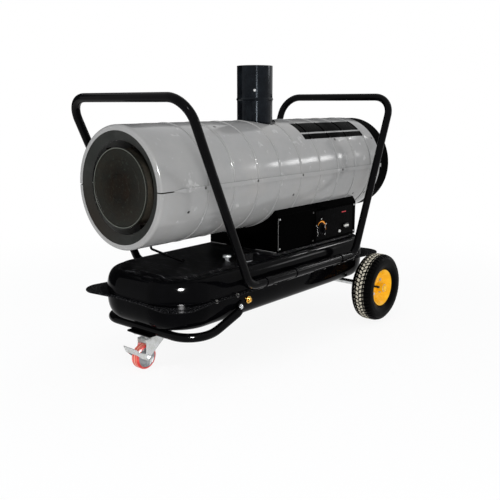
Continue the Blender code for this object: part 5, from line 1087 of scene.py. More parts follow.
def block_pair():
    """One pitch of the tread: two staggered crown blocks and two lugs on each shoulder."""
    bm = bmesh.new()
    pitch = math.tau * CARCASS / BLOCK_PITCHES
    for across, along in CROWN_BLOCKS:
        for corner in bmesh.ops.create_cube(bm, size=1.0)["verts"]:
            x, y, z = corner.co
            length, width, drop = (0.66, 0.0096, 0.0) if z > 0 else (0.76, 0.0112, BLOCK_HEIGHT)
            reach = pitch * (along + x * length + y * math.copysign(CROWN_LEAN_SHARE, across))
            corner.co = (reach, across + y * width, -drop - reach ** 2 / (2 * WHEEL_RADIUS))
    for side in (-1, 1):
        for near, far, drop_near, drop_far in SHOULDER_LUGS:
            for corner in bmesh.ops.create_cube(bm, size=1.0)["verts"]:
                x, y, z = corner.co
                across, drop = (far, drop_far) if y > 0 else (near, drop_near)
                length, spread, sunk = (0.60, 0.0, 0.0) if z > 0 else (0.72, 0.0006, BLOCK_HEIGHT)
                corner.co = (pitch * (side * SHOULDER_SHIFT_SHARE + x * length),
                             side * (across - spread), -drop - sunk)
    return pattern("tread_pitch", bm)


# Nylon is pale, waxy and dull, and the valve's rubber a matt soot black.
nylon = coated("natural_nylon", "#D8D6CC", "#BDB9AA", 10.0, 0.6, (0.38, 0.55), 0.9, 0.02)
valve_rubber = coated("black_valve_rubber", "#121212", "#222222", 8.0, 0.5, (0.4, 0.6), 0.8, 0.02)
tread_pitch = block_pair()
rim_bolt = hex_head("rim_bolt_head", 0.0058, 0.0042, 0.0072)
RIM_BOLTS = 4
RIM_BOLT_REACH = 0.0345
RIM_BOLT_LEVEL = 0.0042
VALVE_PLACE = (-0.0330, 0.0050, 0.0090)
TYRE_HALF = (
    (0.0265, 0.0672, 0), (0.0265, 0.0715), (0.0310, 0.0745, 0.003), (0.0395, 0.0840, 0.012),
    (0.0425, 0.0965, 0.014), (0.0415, 0.1110, 0.010), (0.0375, 0.1170, 0.006),
    (0.0240, CARCASS - 0.0012, 0.012))
TREAD_FLOOR = (
    (0.0175, CARCASS - 0.0020), (0.0175, CARCASS - 0.0002), (0.0, CARCASS + 0.0004),
    (-0.0175, CARCASS - 0.0002), (-0.0175, CARCASS - 0.0020))
RIM_HALF = (
    (0.038, 0.0142, 0.0005), (0.038, 0.0165, 0.0008), (0.0100, 0.0172, 0.004),
    (0.0050, 0.0235, 0.004), (0.0036, 0.0300, 0.004), (0.0060, 0.0440, 0.005),
    (0.0215, 0.0585, 0.006), (0.0265, 0.0640, 0.003), (0.0296, 0.0672, 0.002),
    (0.0300, 0.0706, 0.001), (0.0282, 0.0708, 0.001), (0.0270, 0.0668, 0.001))
BUSH_PROFILE = ((-0.038, 0.0106), (-0.038, 0.0136), (0.038, 0.0136), (0.038, 0.0106))
VALVE_PROFILE = (
    (-0.003, 0), (-0.003, 0.0062), (0.006, 0.0056), (0.009, 0.0042), (0.020, 0.0040),
    (0.0205, 0.0046), (0.0285, 0.0046), (0.0300, 0.0034), (0.0300, 0))

for label, side in SIDES.items():
    centre = Vector((axle_centre.x, side * WHEEL_SIDE, WHEEL_RADIUS))
    body = label + "_wheel"
    dress(shaped(label + "_tyre_carcass", spun, mirrored(TYRE_HALF), centre, ACROSS, 0.001, 96, 5),
          tyre_rubber, label + "_tyre", body)
    dress(shaped(label + "_tread_floor", spun, TREAD_FLOOR, centre, ACROSS, steps=96),
          tread_dust, body=body)
    dress(grown(object_of(label + "_tread_blocks", bmesh.new()), ring_tree, Shape=tread_pitch,
                Count=BLOCK_PITCHES, Radius=WHEEL_RADIUS - BLOCK_SINK, Axis=(0.0, 1.0, 0.0),
                Centre=centre, Finish=tyre_rubber), tyre_rubber, body=body, edge=0.0006)
    dress(shaped(label + "_rim_dish", spun, mirrored(RIM_HALF), centre, ACROSS, 0.001, 80),
          rim_orange, label + "_rim", body)
    dress(shaped(label + "_hub_bushing", spun, BUSH_PROFILE, centre, ACROSS, 0.0006, 48),
          nylon, label + "_hub_bush", body)
    turns = [math.radians(45 + 360 * k / RIM_BOLTS) for k in range(RIM_BOLTS)]
    fastened(label + "_rim_bolts", rim_bolt, bright_zinc, [
        (centre + Vector((RIM_BOLT_REACH * math.cos(t), side * RIM_BOLT_LEVEL,
                          RIM_BOLT_REACH * math.sin(t))), (0, side, 0)) for t in turns], body)
    stem = centre + Vector((VALVE_PLACE[0], side * VALVE_PLACE[1], VALVE_PLACE[2]))
    dress(shaped(label + "_tyre_valve", spun, VALVE_PROFILE, stem, (0, side, 0), 0.0008, 24),
          valve_rubber, body=body)


# Handles: two loops of coated tube that run along the tank, up, across and back. Their ends meet
# in a long clip on each side. The clips are bent strap, bolted to the tank's flange.

HANDLE_SIDE = 0.260
HANDLE_BENDS = (0.055, 0.075, 0.075, 0.055)
RAIL_HEIGHT = 0.270
# Where each loop's ends meet, where it rises, and where and how high its grip is.
HANDLES = {"front_handle": (0.5794, 0.296, 0.032, 0.848), "rear_handle": (0.5806, 0.914, 1.157, 0.855)}
for name, (joint, foot, top, height) in HANDLES.items():
    near_side = [(OUTLET + joint, HANDLE_SIDE, RAIL_HEIGHT), (OUTLET + foot, HANDLE_SIDE, RAIL_HEIGHT),
                 (OUTLET + top, HANDLE_SIDE, height)]
    far_side = [(x, -y, z) for x, y, z in reversed(near_side)]
    dress(shaped(name + "_loop", swept, bent_line(near_side + far_side, HANDLE_BENDS),
                 TUBE_RADIUS - 0.0001), tube_coat, name)

CLIP_SHEET = 0.0022
CLIP_BORE = TUBE_RADIUS + TUBE_SEAT_GAP
CLIP_TAIL = (0.208, 0.230, 0.2315)
CLIP_BOLTS = (0.386, 0.547, 0.613, 0.827)
clip_seat = flange_top + TUBE_SEAT_GAP
clip_outline = [(CLIP_TAIL[0], clip_seat), (CLIP_TAIL[1], clip_seat)]
clip_outline += arc((HANDLE_SIDE, RAIL_HEIGHT), CLIP_BORE + CLIP_SHEET, 228, 338, 34)
clip_outline += arc((HANDLE_SIDE, RAIL_HEIGHT), CLIP_BORE, 206, -338, 34)
clip_outline += [(CLIP_TAIL[2], clip_seat + CLIP_SHEET), (CLIP_TAIL[0], clip_seat + CLIP_SHEET)]
clip_spots = []
for label, side in SIDES.items():
    for part, (start, end) in zip(("front", "joint", "rear"), CLIP_SPANS):
        dress(shaped(f"{label}_{part}_clip_strap", prism, [(side * a, b) for a, b in clip_outline],
                     OUTLET + start, OUTLET + end, 0),
              tube_coat, f"{label}_{part}_clip", edge=0.0005)
    clip_spots += [((OUTLET + x, side * FLANGE_BOLT_SIDE, flange_top + CLIP_SHEET + 0.0005), UP)
                   for x in CLIP_BOLTS]
fastened("clip_bolts", bolt_head, bright_zinc, clip_spots)


# Control box: folded sheet between tank and barrel, black like the tank, with a screwed cover.
# The thin plate on the cover carries the thermostat's dial, the rocker switch and a lamp.

# The box stands in the barrel's shade, so its coat is a deeper black that hardly mirrors.
box_coat = coated(
    "black_box_powder_coat", "#010101", "#030303", 70.0, 0.6, (0.12, 0.20), 2.2, 0.012,
    Specular_IOR_Level=0.003)
BARREL_HEIGHT = 0.585
SHELL_RADIUS = 0.187
SHELL_CLEAR = 0.0011
ON_BARREL = {"centre": (0, 0, BARREL_HEIGHT), "axis": ALONG}
BOX_SHEET = 0.0015
BOX_HALF = 0.160
BOX_CREST_HALF = 0.134
BOX_SHOULDER = 0.447
BOX_CREST = 0.486
GLAND_BORE = 0.0045
CUTTER_PAST = 0.01
BARREL_ROOM_PAST = 0.1
GLAND_PLACE = (-0.115, 0.365)
box_low, box_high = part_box("control_box")


def box_section(inset, foot):
    """Section of the box: upright sides and shoulders that lean in under the barrel."""
    side = BOX_HALF - inset
    return rounded(mirrored([(side, foot, 0.0), (side, BOX_SHOULDER, 0.004),
                             (BOX_CREST_HALF - inset, BOX_CREST, 0.002)]), 0.0)


box = shaped("control_box_case", prism, box_section(0.0, box_low.z), box_low.x, box_high.x, 0)
carve(box, shaped("box_hollow", prism, box_section(BOX_SHEET, box_low.z - CUTTER_PAST),
                  box_low.x + BOX_SHEET, box_high.x - BOX_SHEET, 0))
carve(box, shaped("barrel_room", spun, rod(
    SHELL_RADIUS + SHELL_CLEAR, cad_low.x - BARREL_ROOM_PAST, cad_high.x + BARREL_ROOM_PAST),
    **ON_BARREL, steps=128))
gland_centre = (box_high.x, *GLAND_PLACE)
carve(box, shaped("gland_hole", spun, rod(GLAND_BORE, -CUTTER_PAST, CUTTER_PAST), gland_centre,
                  ALONG, steps=32))
dress(box, box_coat, "control_box", edge=0.0007)

cover_low, cover_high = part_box("control_panel")
dress(shaped("control_cover", slab, cover_low, cover_high, 0.004, axis=1),
      box_coat, "control_panel", edge=0.0005)
# The folded edges at the cover's front and at the box's foot are bare metal, and these pale strips are
# also a painted highlight where the edges catch the light.
bare_edge_with_highlight = coated("bare_edge_painted_highlight", "#9C9C9A", "#626264", 9.0, 0.8, (0.35, 0.55), 1.0, 0.02)
EDGE_HALF = 0.0006
EDGE_ENDS = 0.004
dress(shaped(
    "cover_front_edge", slab,
    (cover_low.x - EDGE_HALF, cover_low.y + 0.0003, cover_low.z + EDGE_ENDS),
    (cover_low.x + EDGE_HALF, cover_low.y + 0.0011, cover_high.z - EDGE_ENDS), 0.0002, axis=1),
    bare_edge_with_highlight)
FOOT_EDGE_REACH = (0.0030, 0.0002)
FOOT_EDGES = ((-0.156, -0.062, 0.0016), (0.080, 0.150, 0.0014))
bm = bmesh.new()
for start, end, top in FOOT_EDGES:
    slab(bm, (box_low.x - FOOT_EDGE_REACH[0], start, box_low.z + 0.0004),
         (box_low.x - FOOT_EDGE_REACH[1], end, box_low.z + top), 0.0008)
dress(solid("box_foot_edge", bm), bare_edge_with_highlight)

COVER_SCREW_INSET = 0.009
cover_screw = pan_head("cover_screw_head", 0.0036, 0.0016)
for name, finish, distances in (("cover_end_screws", bright_zinc, (0.577, 1.062)),
                                ("cover_middle_screws", dark_zinc, (0.779,))):
    fastened(name, cover_screw, finish, [
        ((OUTLET + x, cover_low.y, z), (0, -1, 0)) for x in distances
        for z in (cover_low.z + COVER_SCREW_INSET, cover_high.z - COVER_SCREW_INSET)])

# The film is a flat black with a soft sheen. The dial's scale is printed on it: short white
# strokes, an orange band that widens to the warm end, and numbers.
dial_film = coated(
    "black_printed_film", "#030303", "#0B0B0C", 20.0, 0.6, (0.22, 0.36), 0.9, 0.01,
    Specular_IOR_Level=0.008)
white_print = coated("white_print", "#E6E6E2", "#C9C9C4", 6.0, 0.5, (0.4, 0.6), 0.8, 0.01)
orange_print = coated("orange_print", "#F0961E", "#D87C14", 6.0, 0.5, (0.4, 0.6), 0.8, 0.01)
red_print = coated("red_print", "#C0202A", "#A01820", 6.0, 0.5, (0.4, 0.6), 0.8, 0.01)
dial_low, dial_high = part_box("dial_plate")
PRINT_THICK = 0.0002
PRINT_FACE = dial_low.y - PRINT_THICK / 2
KNOB_PLACE = Vector((OUTLET + 0.831, dial_low.y, 0.370))
DIAL_RADIUS = 0.0262
DIAL_STROKE = (0.0018, 0.0045)
DIAL_STROKE_ANGLES = range(-135, -60, 15)
WARM_START, WARM_STEP, WARM_POINTS = -62, 4, 50
NUMBER_RADIUS = 0.0352
NUMBER_SIZE = 0.0072
dial_centre = Vector((KNOB_PLACE.x, PRINT_FACE, KNOB_PLACE.z))
dress(shaped("dial_front_plate", slab, dial_low, dial_high, 0.005, axis=1),
      dial_film, "dial_plate", edge=0.0003)


def stroke(bm, centre, size, turn=0.0):
    """One printed bar on the plate, turned by an angle about Y."""
    for corner in bmesh.ops.create_cube(bm, size=1.0)["verts"]:
        x, y, z = corner.co
        bar = Vector((x * size[0], y * PRINT_THICK, z * size[1]))
        corner.co = Matrix.Rotation(turn, 3, "Y") @ bar + centre


bm = bmesh.new()
for angle in DIAL_STROKE_ANGLES:
    turn = math.radians(angle)
    way = Vector((math.sin(turn), 0, math.cos(turn)))
    stroke(bm, dial_centre + way * DIAL_RADIUS, DIAL_STROKE, turn)
dress(solid("dial_scale_cool", bm), white_print)
band = [(math.radians(WARM_START + WARM_STEP * k), 0.0006 + 0.0001 * k) for k in range(WARM_POINTS)]
rim = [(turn, DIAL_RADIUS + half) for turn, half in band]
rim += [(turn, DIAL_RADIUS - half) for turn, half in reversed(band)]
dress(shaped("dial_scale_warm", prism, [
    (KNOB_PLACE.x + reach * math.sin(turn), KNOB_PLACE.z + reach * math.cos(turn))
    for turn, reach in rim], PRINT_FACE - PRINT_THICK / 2, PRINT_FACE + PRINT_THICK / 2, 1),
    orange_print)

for k, text in enumerate(("0", "10", "20", "30", "40")):
    turn = math.radians(-135 + 67.5 * k)
    text_data = bpy.data.curves.new("dial_number_" + text, "FONT")
    text_data.body = text
    text_data.size = NUMBER_SIZE
    text_data.align_x = "CENTER"
    text_data.align_y = "CENTER"
    text_data.extrude = PRINT_THICK / 2
    written = linked("dial_number_" + text, text_data)
    written.rotation_euler = (math.pi / 2, 0, 0)
    written.location = dial_centre + Vector((math.sin(turn), 0, math.cos(turn))) * NUMBER_RADIUS
    mesh = evaluated(written)
    mesh.transform(written.matrix_world)
    bpy.data.objects.remove(written)
    dress(linked("dial_number_mark_" + text, mesh), white_print)

PANEL_MARK = Vector((OUTLET + 0.985, PRINT_FACE, 0.416))
dress(shaped("panel_mark_bar", stroke, PANEL_MARK, (0.030, 0.004)), red_print)

# The knob is a flat disc with a grip bar across it and a white pointer line.
KNOB_DISC = (
    (0.0002, 0), (0.0002, 0.0218), (0.0038, 0.0212, 0.001), (0.0044, 0.0180, 0.001), (0.0046, 0))
GRIP_HALF = (0.0044, 0.0169)
GRIP_REACH = (0.0170, 0.0030)
POINTER_HEIGHT = 0.0100
POINTER_SIZE = (0.0014, 0.0110)
bm = bmesh.new()
spun(bm, KNOB_DISC, KNOB_PLACE, (0, -1, 0), fillet=0.0006, steps=72)
slab(bm, KNOB_PLACE - Vector((GRIP_HALF[0], GRIP_REACH[0], GRIP_HALF[1])),
     KNOB_PLACE + Vector((GRIP_HALF[0], -GRIP_REACH[1], GRIP_HALF[1])), 0.0042, axis=1)
dress(solid("thermostat_knob_grip", bm), black_plastic, "thermostat_knob",
      "thermostat_knob", edge=0.0006)
dress(shaped("thermostat_pointer", stroke,
             KNOB_PLACE + Vector((0.0, -GRIP_REACH[0], POINTER_HEIGHT)), POINTER_SIZE),
      white_print, body="thermostat_knob")

# The rocker is smooth white plastic with black moulded ends.
switch_white = coated(
    "white_switch_plastic", "#E9E8E2", "#DAD8CE", 12.0, 0.5, (0.26, 0.38), 0.8, 0.02)
SWITCH_PLACE = Vector((OUTLET + 0.997, dial_low.y - 0.0003, 0.361))
SWITCH_HALF = 0.0085
SWITCH_WHITE_HALF = (0.0036, 0.0040)
ROCKER = rounded((
    (0.0, 0.0, 0), (0.013, -0.00215, 0.0006), (0.013, -0.0089, 0.0012), (0.0, -0.0070, 0.010),
    (-0.013, -0.0089, 0.0012), (-0.013, -0.00215, 0.0006)), 0.0006)
switch_tree = switch_white.node_tree
switch_sides = add_node(
    switch_tree, "ShaderNodeSeparateXYZ",
    {0: add_node(switch_tree, "ShaderNodeTexCoord").outputs["Object"]})
switch_level = add_node(
    switch_tree, "ShaderNodeMath", {0: switch_sides.outputs["Z"], 1: SWITCH_PLACE.z},
    operation="SUBTRACT")
switch_away = add_node(switch_tree, "ShaderNodeMath", {0: switch_level}, operation="ABSOLUTE")
tinted(switch_white, add_node(
    switch_tree, "ShaderNodeMapRange",
    {"Value": switch_away, "From Min": SWITCH_WHITE_HALF[0], "From Max": SWITCH_WHITE_HALF[1]}),
    "#0A0A0B")
dress(shaped("switch_rocker", prism, [(SWITCH_PLACE.x + a, SWITCH_PLACE.y + b) for a, b in ROCKER],
             SWITCH_PLACE.z - SWITCH_HALF, SWITCH_PLACE.z + SWITCH_HALF, 2),
      switch_white, "power_switch", "power_switch", edge=0.0005)

# The lens is frosted and lets some light in, so it looks milky.
lamp_glass = coated(
    "frosted_lamp_lens", "#E8E8E4", "#D4D4CC", 6.0, 0.5, (0.16, 0.30), 0.6, 0.02,
    Transmission_Weight=0.25, IOR=1.49)
LAMP_PLACE = (OUTLET + 0.955, dial_low.y - 0.0003, 0.343)
LENS_PROFILE = ((0, 0), (0, 0.006), (0.0030, 0.006), (0.0060, 0.0035, 0.003), (0.0060, 0))
dress(shaped("lamp_lens_dome", spun, LENS_PROFILE, LAMP_PLACE, (0, -1, 0), 0.0006, 40),
      lamp_glass, "power_lamp")

GLAND_PROFILE = (
    (0, GLAND_BORE), (0, 0.011), (0.0022, 0.011), (0.0030, 0.0095), (0.0098, 0.0095),
    (0.0105, 0.0078), (0.0190, 0.0074), (0.0200, 0.0066), (0.0200, GLAND_BORE))
gland_seat = (gland_centre[0] + 0.0003, *GLAND_PLACE)
dress(shaped("cable_gland_nut", spun, GLAND_PROFILE, gland_seat, ALONG, 0.0005, 40),
      black_plastic, "cable_gland")


# Combustion chamber: stainless can with a pressed lid whose rim is rolled, dull and sooty from
# heat. Behind it stand the burner, pump, motor and their lines, which stay as the CAD made them.

# Heat has browned and dulled the steel. The castings are pale and grainy, the motor's enamel is a
# flat grey, and the drawn copper is a reddish mirror with brown spots.
chamber_steel = coated(
    "heat_dulled_stainless", "#4A463E", "#2E2820", 45.0, 0.9, (0.34, 0.62), 1.5, 0.04, metallic=0.9)
cast_alloy = coated(
    "cast_aluminium", "#B9BBBC", "#8F9193", 18.0, 0.7, (0.32, 0.55), 1.0, 0.08, metallic=1.0)
motor_paint = coated("grey_motor_enamel", "#565B60", "#484C50", 35.0, 0.6, (0.32, 0.50), 1.4, 0.04)
copper = coated(
    "drawn_copper_line", "#C47A50", "#8A4E34", 12.0, 0.8, (0.2, 0.42), 0.8, 0.02, metallic=1.0)
for name, finish in {
        "front_chamber_support": chamber_steel, "rear_chamber_support": chamber_steel,
        "burner_tube": chamber_steel, "fuel_pump": cast_alloy, "ignition_transformer": motor_paint,
        "feed_line": copper, "nozzle_line": copper, "oil_nozzle": brass,
        "motor_bracket": bright_zinc}.items():
    painted_as_made(name, finish)

CHAMBER_RADIUS = 0.116
CHAMBER_SHEET = 0.0015
CHAMBER_REAR_HOLE = 0.046
chamber_inside = CHAMBER_RADIUS - CHAMBER_SHEET
chamber_low, chamber_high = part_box("combustion_chamber")
dress(shaped("chamber_can", spun, (
    (chamber_low.x, chamber_inside), (chamber_low.x, CHAMBER_RADIUS),
    (chamber_high.x, CHAMBER_RADIUS, 0.004), (chamber_high.x, CHAMBER_REAR_HOLE),
    (chamber_high.x - CHAMBER_SHEET, CHAMBER_REAR_HOLE),
    (chamber_high.x - CHAMBER_SHEET, chamber_inside, 0.003)), **ON_BARREL, fillet=0.0004, steps=96),
    chamber_steel, "combustion_chamber")

# Soot makes the lid nearly black, with pale specks and a grey haze towards its rim; the rolled bead gets a
# pale line of painted highlight.
LID_SPECK_MM = 7.692
LID_BEAD_RADIUS = 0.1182
LID_PROFILE = (
    (0.0042, 0), (0.0042, 0.0400, 0.003), (0.0060, 0.0430, 0.003), (0.0060, 0.0840, 0.003),
    (0.0079, 0.0870, 0.003), (0.0080, 0.1140, 0.002), (0.0042, 0.1163, 0.0015),
    (0.0030, 0.1185, 0.002), (0.0042, 0.1208, 0.0012), (0.0094, 0.1210, 0.0004), (0.0094, 0))
sooty_lid = coated(
    "sooty_heat_stained_steel", "#0F0D0A", "#1A120B", 55.0, 0.9, (0.40, 0.72), 2.0, 0.05,
    Specular_IOR_Level=0.04)
lid_tree = sooty_lid.node_tree
lid_place = add_node(lid_tree, "ShaderNodeTexCoord").outputs["Object"]
lid_specks = add_node(
    lid_tree, "ShaderNodeTexNoise",
    {"Vector": lid_place, "Scale": 1000 / LID_SPECK_MM, "Detail": 6.0, "Roughness": 0.7})
lid_centred = add_node(
    lid_tree, "ShaderNodeMapping",
    {"Vector": lid_place, "Location": (0.0, 0.0, -BARREL_HEIGHT), "Scale": (0.0, 1.0, 1.0)})
lid_reach = add_node(
    lid_tree, "ShaderNodeVectorMath", {0: lid_centred}, operation="LENGTH").outputs["Value"]
lid_past_bead = add_node(
    lid_tree, "ShaderNodeMath", {0: lid_reach, 1: LID_BEAD_RADIUS}, operation="SUBTRACT")
lid_off_bead = add_node(lid_tree, "ShaderNodeMath", {0: lid_past_bead}, operation="ABSOLUTE")
# The last row paints a highlight along the bead.
for value, start, end, most, code in (
        (lid_specks.outputs[0], 0.56, 0.72, 0.5, "#414B42"), (lid_reach, 0.040, 0.110, 0.42, "#2D2F2B"),
        (lid_off_bead.outputs[0], 0.0015, 0.0004, 1.0, "#63665F")):
    tinted(sooty_lid, add_node(
        lid_tree, "ShaderNodeMapRange",
        {"Value": value, "From Min": start, "From Max": end, "To Max": most}), code)
dress(shaped("chamber_lid", spun, LID_PROFILE, (OUTLET, 0, BARREL_HEIGHT), ALONG, 0.001, 128),
      sooty_lid, "chamber_front_disc")


# Fan and motor: a five-bladed pressed aluminium fan on the shaft of a round enamelled motor
# with cooling grooves round its case.

MOTOR_RADIUS = 0.0555
MOTOR_END_RADIUS = 0.046
MOTOR_GROOVES = 11
GROOVE_START = 0.014
GROOVE_PITCH = 0.0095
GROOVE_FLOOR = 0.0528
GROOVE = ((0.0, MOTOR_RADIUS, 0.0004), (0.0015, GROOVE_FLOOR, 0.0008),
          (0.0040, GROOVE_FLOOR, 0.0008), (0.0055, MOTOR_RADIUS, 0.0004))
MOTOR_SHOULDER = 0.008
SHAFT_POCKET = 0.018
SHAFT_BORE = 0.0072
SHAFT_RADIUS = 0.0059
motor_low, motor_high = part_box("fan_motor")
motor_profile = [(motor_low.x, 0), (motor_low.x, MOTOR_END_RADIUS, 0.004),
                 (motor_low.x + MOTOR_SHOULDER, MOTOR_RADIUS, 0.003)]
for k in range(MOTOR_GROOVES):
    start = motor_low.x + GROOVE_START + GROOVE_PITCH * k
    motor_profile += [(start + along, *rest) for along, *rest in GROOVE]
motor_profile += [
    (motor_high.x - MOTOR_SHOULDER, MOTOR_RADIUS, 0.003), (motor_high.x, MOTOR_END_RADIUS, 0.004),
    (motor_high.x, SHAFT_BORE), (motor_high.x - SHAFT_POCKET, SHAFT_BORE, 0),
    (motor_high.x - SHAFT_POCKET, 0)]
dress(shaped("fan_motor_case", spun, motor_profile, **ON_BARREL, fillet=0.0006, steps=72, bend_steps=3),
      motor_paint, "fan_motor")

shaft_low, shaft_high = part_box("motor_shaft")
dress(shaped("motor_shaft_bar", spun, rod(SHAFT_RADIUS, shaft_low.x, shaft_high.x), **ON_BARREL,
             fillet=0.0008, steps=32), bright_zinc, "motor_shaft", "fan_rotor")

FAN_X = OUTLET + 1.160
FAN_BLADES = 5
FAN_ROOT = 0.0225
FAN_TIP = 0.1675
FAN_PITCH = math.radians(28.0)
ROOT_CHORD = 0.024
TIP_CHORD = 0.105
TIP_ROUNDING_SHARE = 0.10
TIP_START_SHARE = 0.85
BLADE_CAMBER = 0.006
BLADE_HALF_SHEET = 0.0008
BLADE_STEPS = 8
HUB_PROFILE = (
    (-0.013, 0.0064), (-0.013, 0.0255, 0.002), (0.010, 0.0258, 0.003), (0.013, 0.0220, 0.001),
    (0.013, 0.0110, 0.001), (0.013, 0.0064))
sections = []
for k in range(BLADE_STEPS + 1):
    share = k / BLADE_STEPS
    at_tip = max(0.0, share - TIP_START_SHARE) / (1 - TIP_START_SHARE)
    chord = (ROOT_CHORD + (TIP_CHORD - ROOT_CHORD) * share) * (1 - TIP_ROUNDING_SHARE * at_tip)
    section = []
    for side in (1, -1):
        for step in range(BLADE_STEPS + 1)[::side]:
            t = step / BLADE_STEPS - 0.5
            camber = BLADE_CAMBER * chord / TIP_CHORD * (1 - 4 * t * t)
            flat = Matrix.Rotation(FAN_PITCH, 2) @ Vector((chord * t, camber + side * BLADE_HALF_SHEET))
            section.append((flat.x, flat.y, FAN_ROOT + (FAN_TIP - FAN_ROOT) * share))
    sections.append(section)
bm = bmesh.new()
lofted(bm, sections)
fan_blade = pattern("fan_blade_pattern", bm)
dress(grown(object_of("fan_blades", bmesh.new()), ring_tree, Shape=fan_blade, Count=FAN_BLADES,
            Radius=0.0001, Axis=(1.0, 0.0, 0.0), Centre=(FAN_X, 0.0, BARREL_HEIGHT),
            Finish=cast_alloy), cast_alloy, body="fan_rotor")
dress(shaped("fan_hub", spun, HUB_PROFILE, (FAN_X, 0, BARREL_HEIGHT), ALONG, 0.0006),
      cast_alloy, "fan", "fan_rotor")


# Barrel: two half shells of rolled sheet with pressed ribs, painted satin grey. The lower half
# slips inside the upper one's strips along each side, and self-tapping screws hold them. Both
# turn in at the front to a lip. The paint is even, a little dusty, and scuffed pale in spots.

SHELL_LENGTH = 1.210
SHELL_SHEET = 0.0015
RIBS = 9
FIRST_RIB = 0.194
RIB_PITCH = 0.118
RIB_HALF = 0.0042
RIB_RISE = 0.0021
RIB_SHARES = ((-1.9, 0.0), (-1.5, -0.12), (-1.2, -0.36), (-1.0, -0.42), (-0.85, -0.2), (-0.7, 0.35),
              (-0.45, 0.85), (-0.2, 1.0), (0.1, 0.96), (0.5, 0.62), (0.9, 0.2), (1.2, 0.0))
BAND_BULGE = 0.0008
BAND_STEPS = 10
SEAM_STEP = 0.0065
UPPER_SEAM_HALF = 0.0070
LOWER_SEAM_HALF = 0.0052
STRIP_START = 0.045
STRIP_FULL = 0.085
LIP_RADIUS = 0.170
LIP_NOSE = 0.009
LIP_NOSE_RADII = (0.0095, 0.0075)
LIP_NOSE_STEPS = 8
LIP_SLIT = 0.0018
WALL_STEPS = 64


def shell_places():
    """(distance, outside radius, inside radius) along the shell, over its lip and ribs."""
    bore = SHELL_RADIUS - SHELL_SHEET
    places = [(0.0, LIP_RADIUS + 0.0015, LIP_RADIUS)]
    for k in range(LIP_NOSE_STEPS + 1):
        t = math.pi / 2 * k / LIP_NOSE_STEPS
        distance = LIP_NOSE * (1 - math.cos(t))
        radius = LIP_RADIUS + LIP_NOSE_RADII[0] + LIP_NOSE_RADII[1] * math.sin(t)
        inner = LIP_RADIUS if distance < SHELL_SHEET else max(LIP_RADIUS, radius - SHELL_SHEET)
        places.append((distance, radius, inner))
    places.append((STRIP_START, SHELL_RADIUS, bore))
    for number in range(RIBS + 1):
        middle = FIRST_RIB + RIB_PITCH * number
        start = STRIP_FULL if number == 0 else places[-1][0]
        end = SHELL_LENGTH if number == RIBS else middle + RIB_HALF * RIB_SHARES[0][0]
        for k in range(1 if number else 0, BAND_STEPS):
            t = 2 * k / BAND_STEPS - 1
            places.append((start + (end - start) * k / BAND_STEPS,
                           SHELL_RADIUS + BAND_BULGE * (1 - t * t), bore))
        for t, share in RIB_SHARES if number < RIBS else ():
            places.append((middle + RIB_HALF * t, SHELL_RADIUS + RIB_RISE * share, bore))
    return places + [(SHELL_LENGTH, SHELL_RADIUS, bore)]


def half_barrel(name, sign, strip_in, top_level):
    """One half shell: its arc, and along both sides a ledge and a strip that stands on it."""
    rings = []
    for distance, outer, inner in shell_places():
        share = min(1.0, max(0.0, (distance - STRIP_START) / (STRIP_FULL - STRIP_START)))
        level = LIP_SLIT + (top_level - LIP_SLIT) * share
        strip = outer + (SHELL_RADIUS + SEAM_STEP - strip_in - outer) * share
        drop = -LIP_SLIT + (LIP_SLIT + top_level) * share
        fold = level - SHELL_SHEET * share
        start = math.degrees(math.asin(level / outer))
        inside = math.degrees(math.asin(fold / inner))
        wall = strip - SHELL_SHEET
        line = [(strip, -drop), (strip, level)]
        line += arc((0, 0), outer, start, 180 - 2 * start, WALL_STEPS)
        line += [(-strip, level), (-strip, -drop), (-wall, -drop), (-wall, fold)]
        line += arc((0, 0), inner, 180 - inside, 2 * inside - 180, WALL_STEPS)
        line += [(wall, fold), (wall, -drop)]
        rings.append([(OUTLET + distance, a, BARREL_HEIGHT + sign * b) for a, b in line])
    return shaped(name, lofted, rings)


DUST_PATCH_MM = 142.857
SCUFF_MM = 41.667
barrel_paint = coated(
    "satin_grey_barrel_paint", "#8F8F8E", "#989795", 160.0, 0.8, (0.12, 0.20), 2.4, 0.012,
    Specular_IOR_Level=0.35)
barrel_tree = barrel_paint.node_tree
barrel_place = add_node(barrel_tree, "ShaderNodeTexCoord").outputs["Object"]
barrel_dust = add_node(
    barrel_tree, "ShaderNodeTexNoise",
    {"Vector": barrel_place, "Scale": 1000 / DUST_PATCH_MM, "Detail": 8.0, "Roughness": 0.7,
     "Distortion": 0.6})
barrel_scuffs = add_node(
    barrel_tree, "ShaderNodeTexNoise",
    {"Vector": barrel_place, "Scale": 1000 / SCUFF_MM, "Detail": 3.0, "Roughness": 0.6})
for marks, start, end, most, code in (
        (barrel_dust, 0.50, 0.72, 0.28, "#8F8A84"), (barrel_scuffs, 0.63, 0.74, 0.5, "#BDBDBB")):
    tinted(barrel_paint, add_node(
        barrel_tree, "ShaderNodeMapRange",
        {"Value": marks, "From Min": start, "From Max": end, "To Max": most}), code)

FLUE_X = OUTLET + 0.633
FLUE_RADIUS = 0.063
FLUE_HOLE_GAP = 0.0006
FLUE_HOLE_RISE = 0.4
upper_half = half_barrel("barrel_upper_half", 1, 0.0, UPPER_SEAM_HALF)
carve(upper_half, shaped("flue_hole", spun, rod(FLUE_RADIUS + FLUE_HOLE_GAP, 0.0, FLUE_HOLE_RISE),
                         (FLUE_X, 0, BARREL_HEIGHT), steps=96))
dress(upper_half, barrel_paint, "upper_shell", crease=40)
dress(half_barrel("barrel_lower_half", -1, SHELL_SHEET + 0.0003, LOWER_SEAM_HALF),
      barrel_paint, "lower_shell", crease=40)

SEAM_SCREWS = (0.173, 0.418, 0.667, 0.922, 1.160)
SEAM_SCREW_RISE = 0.001
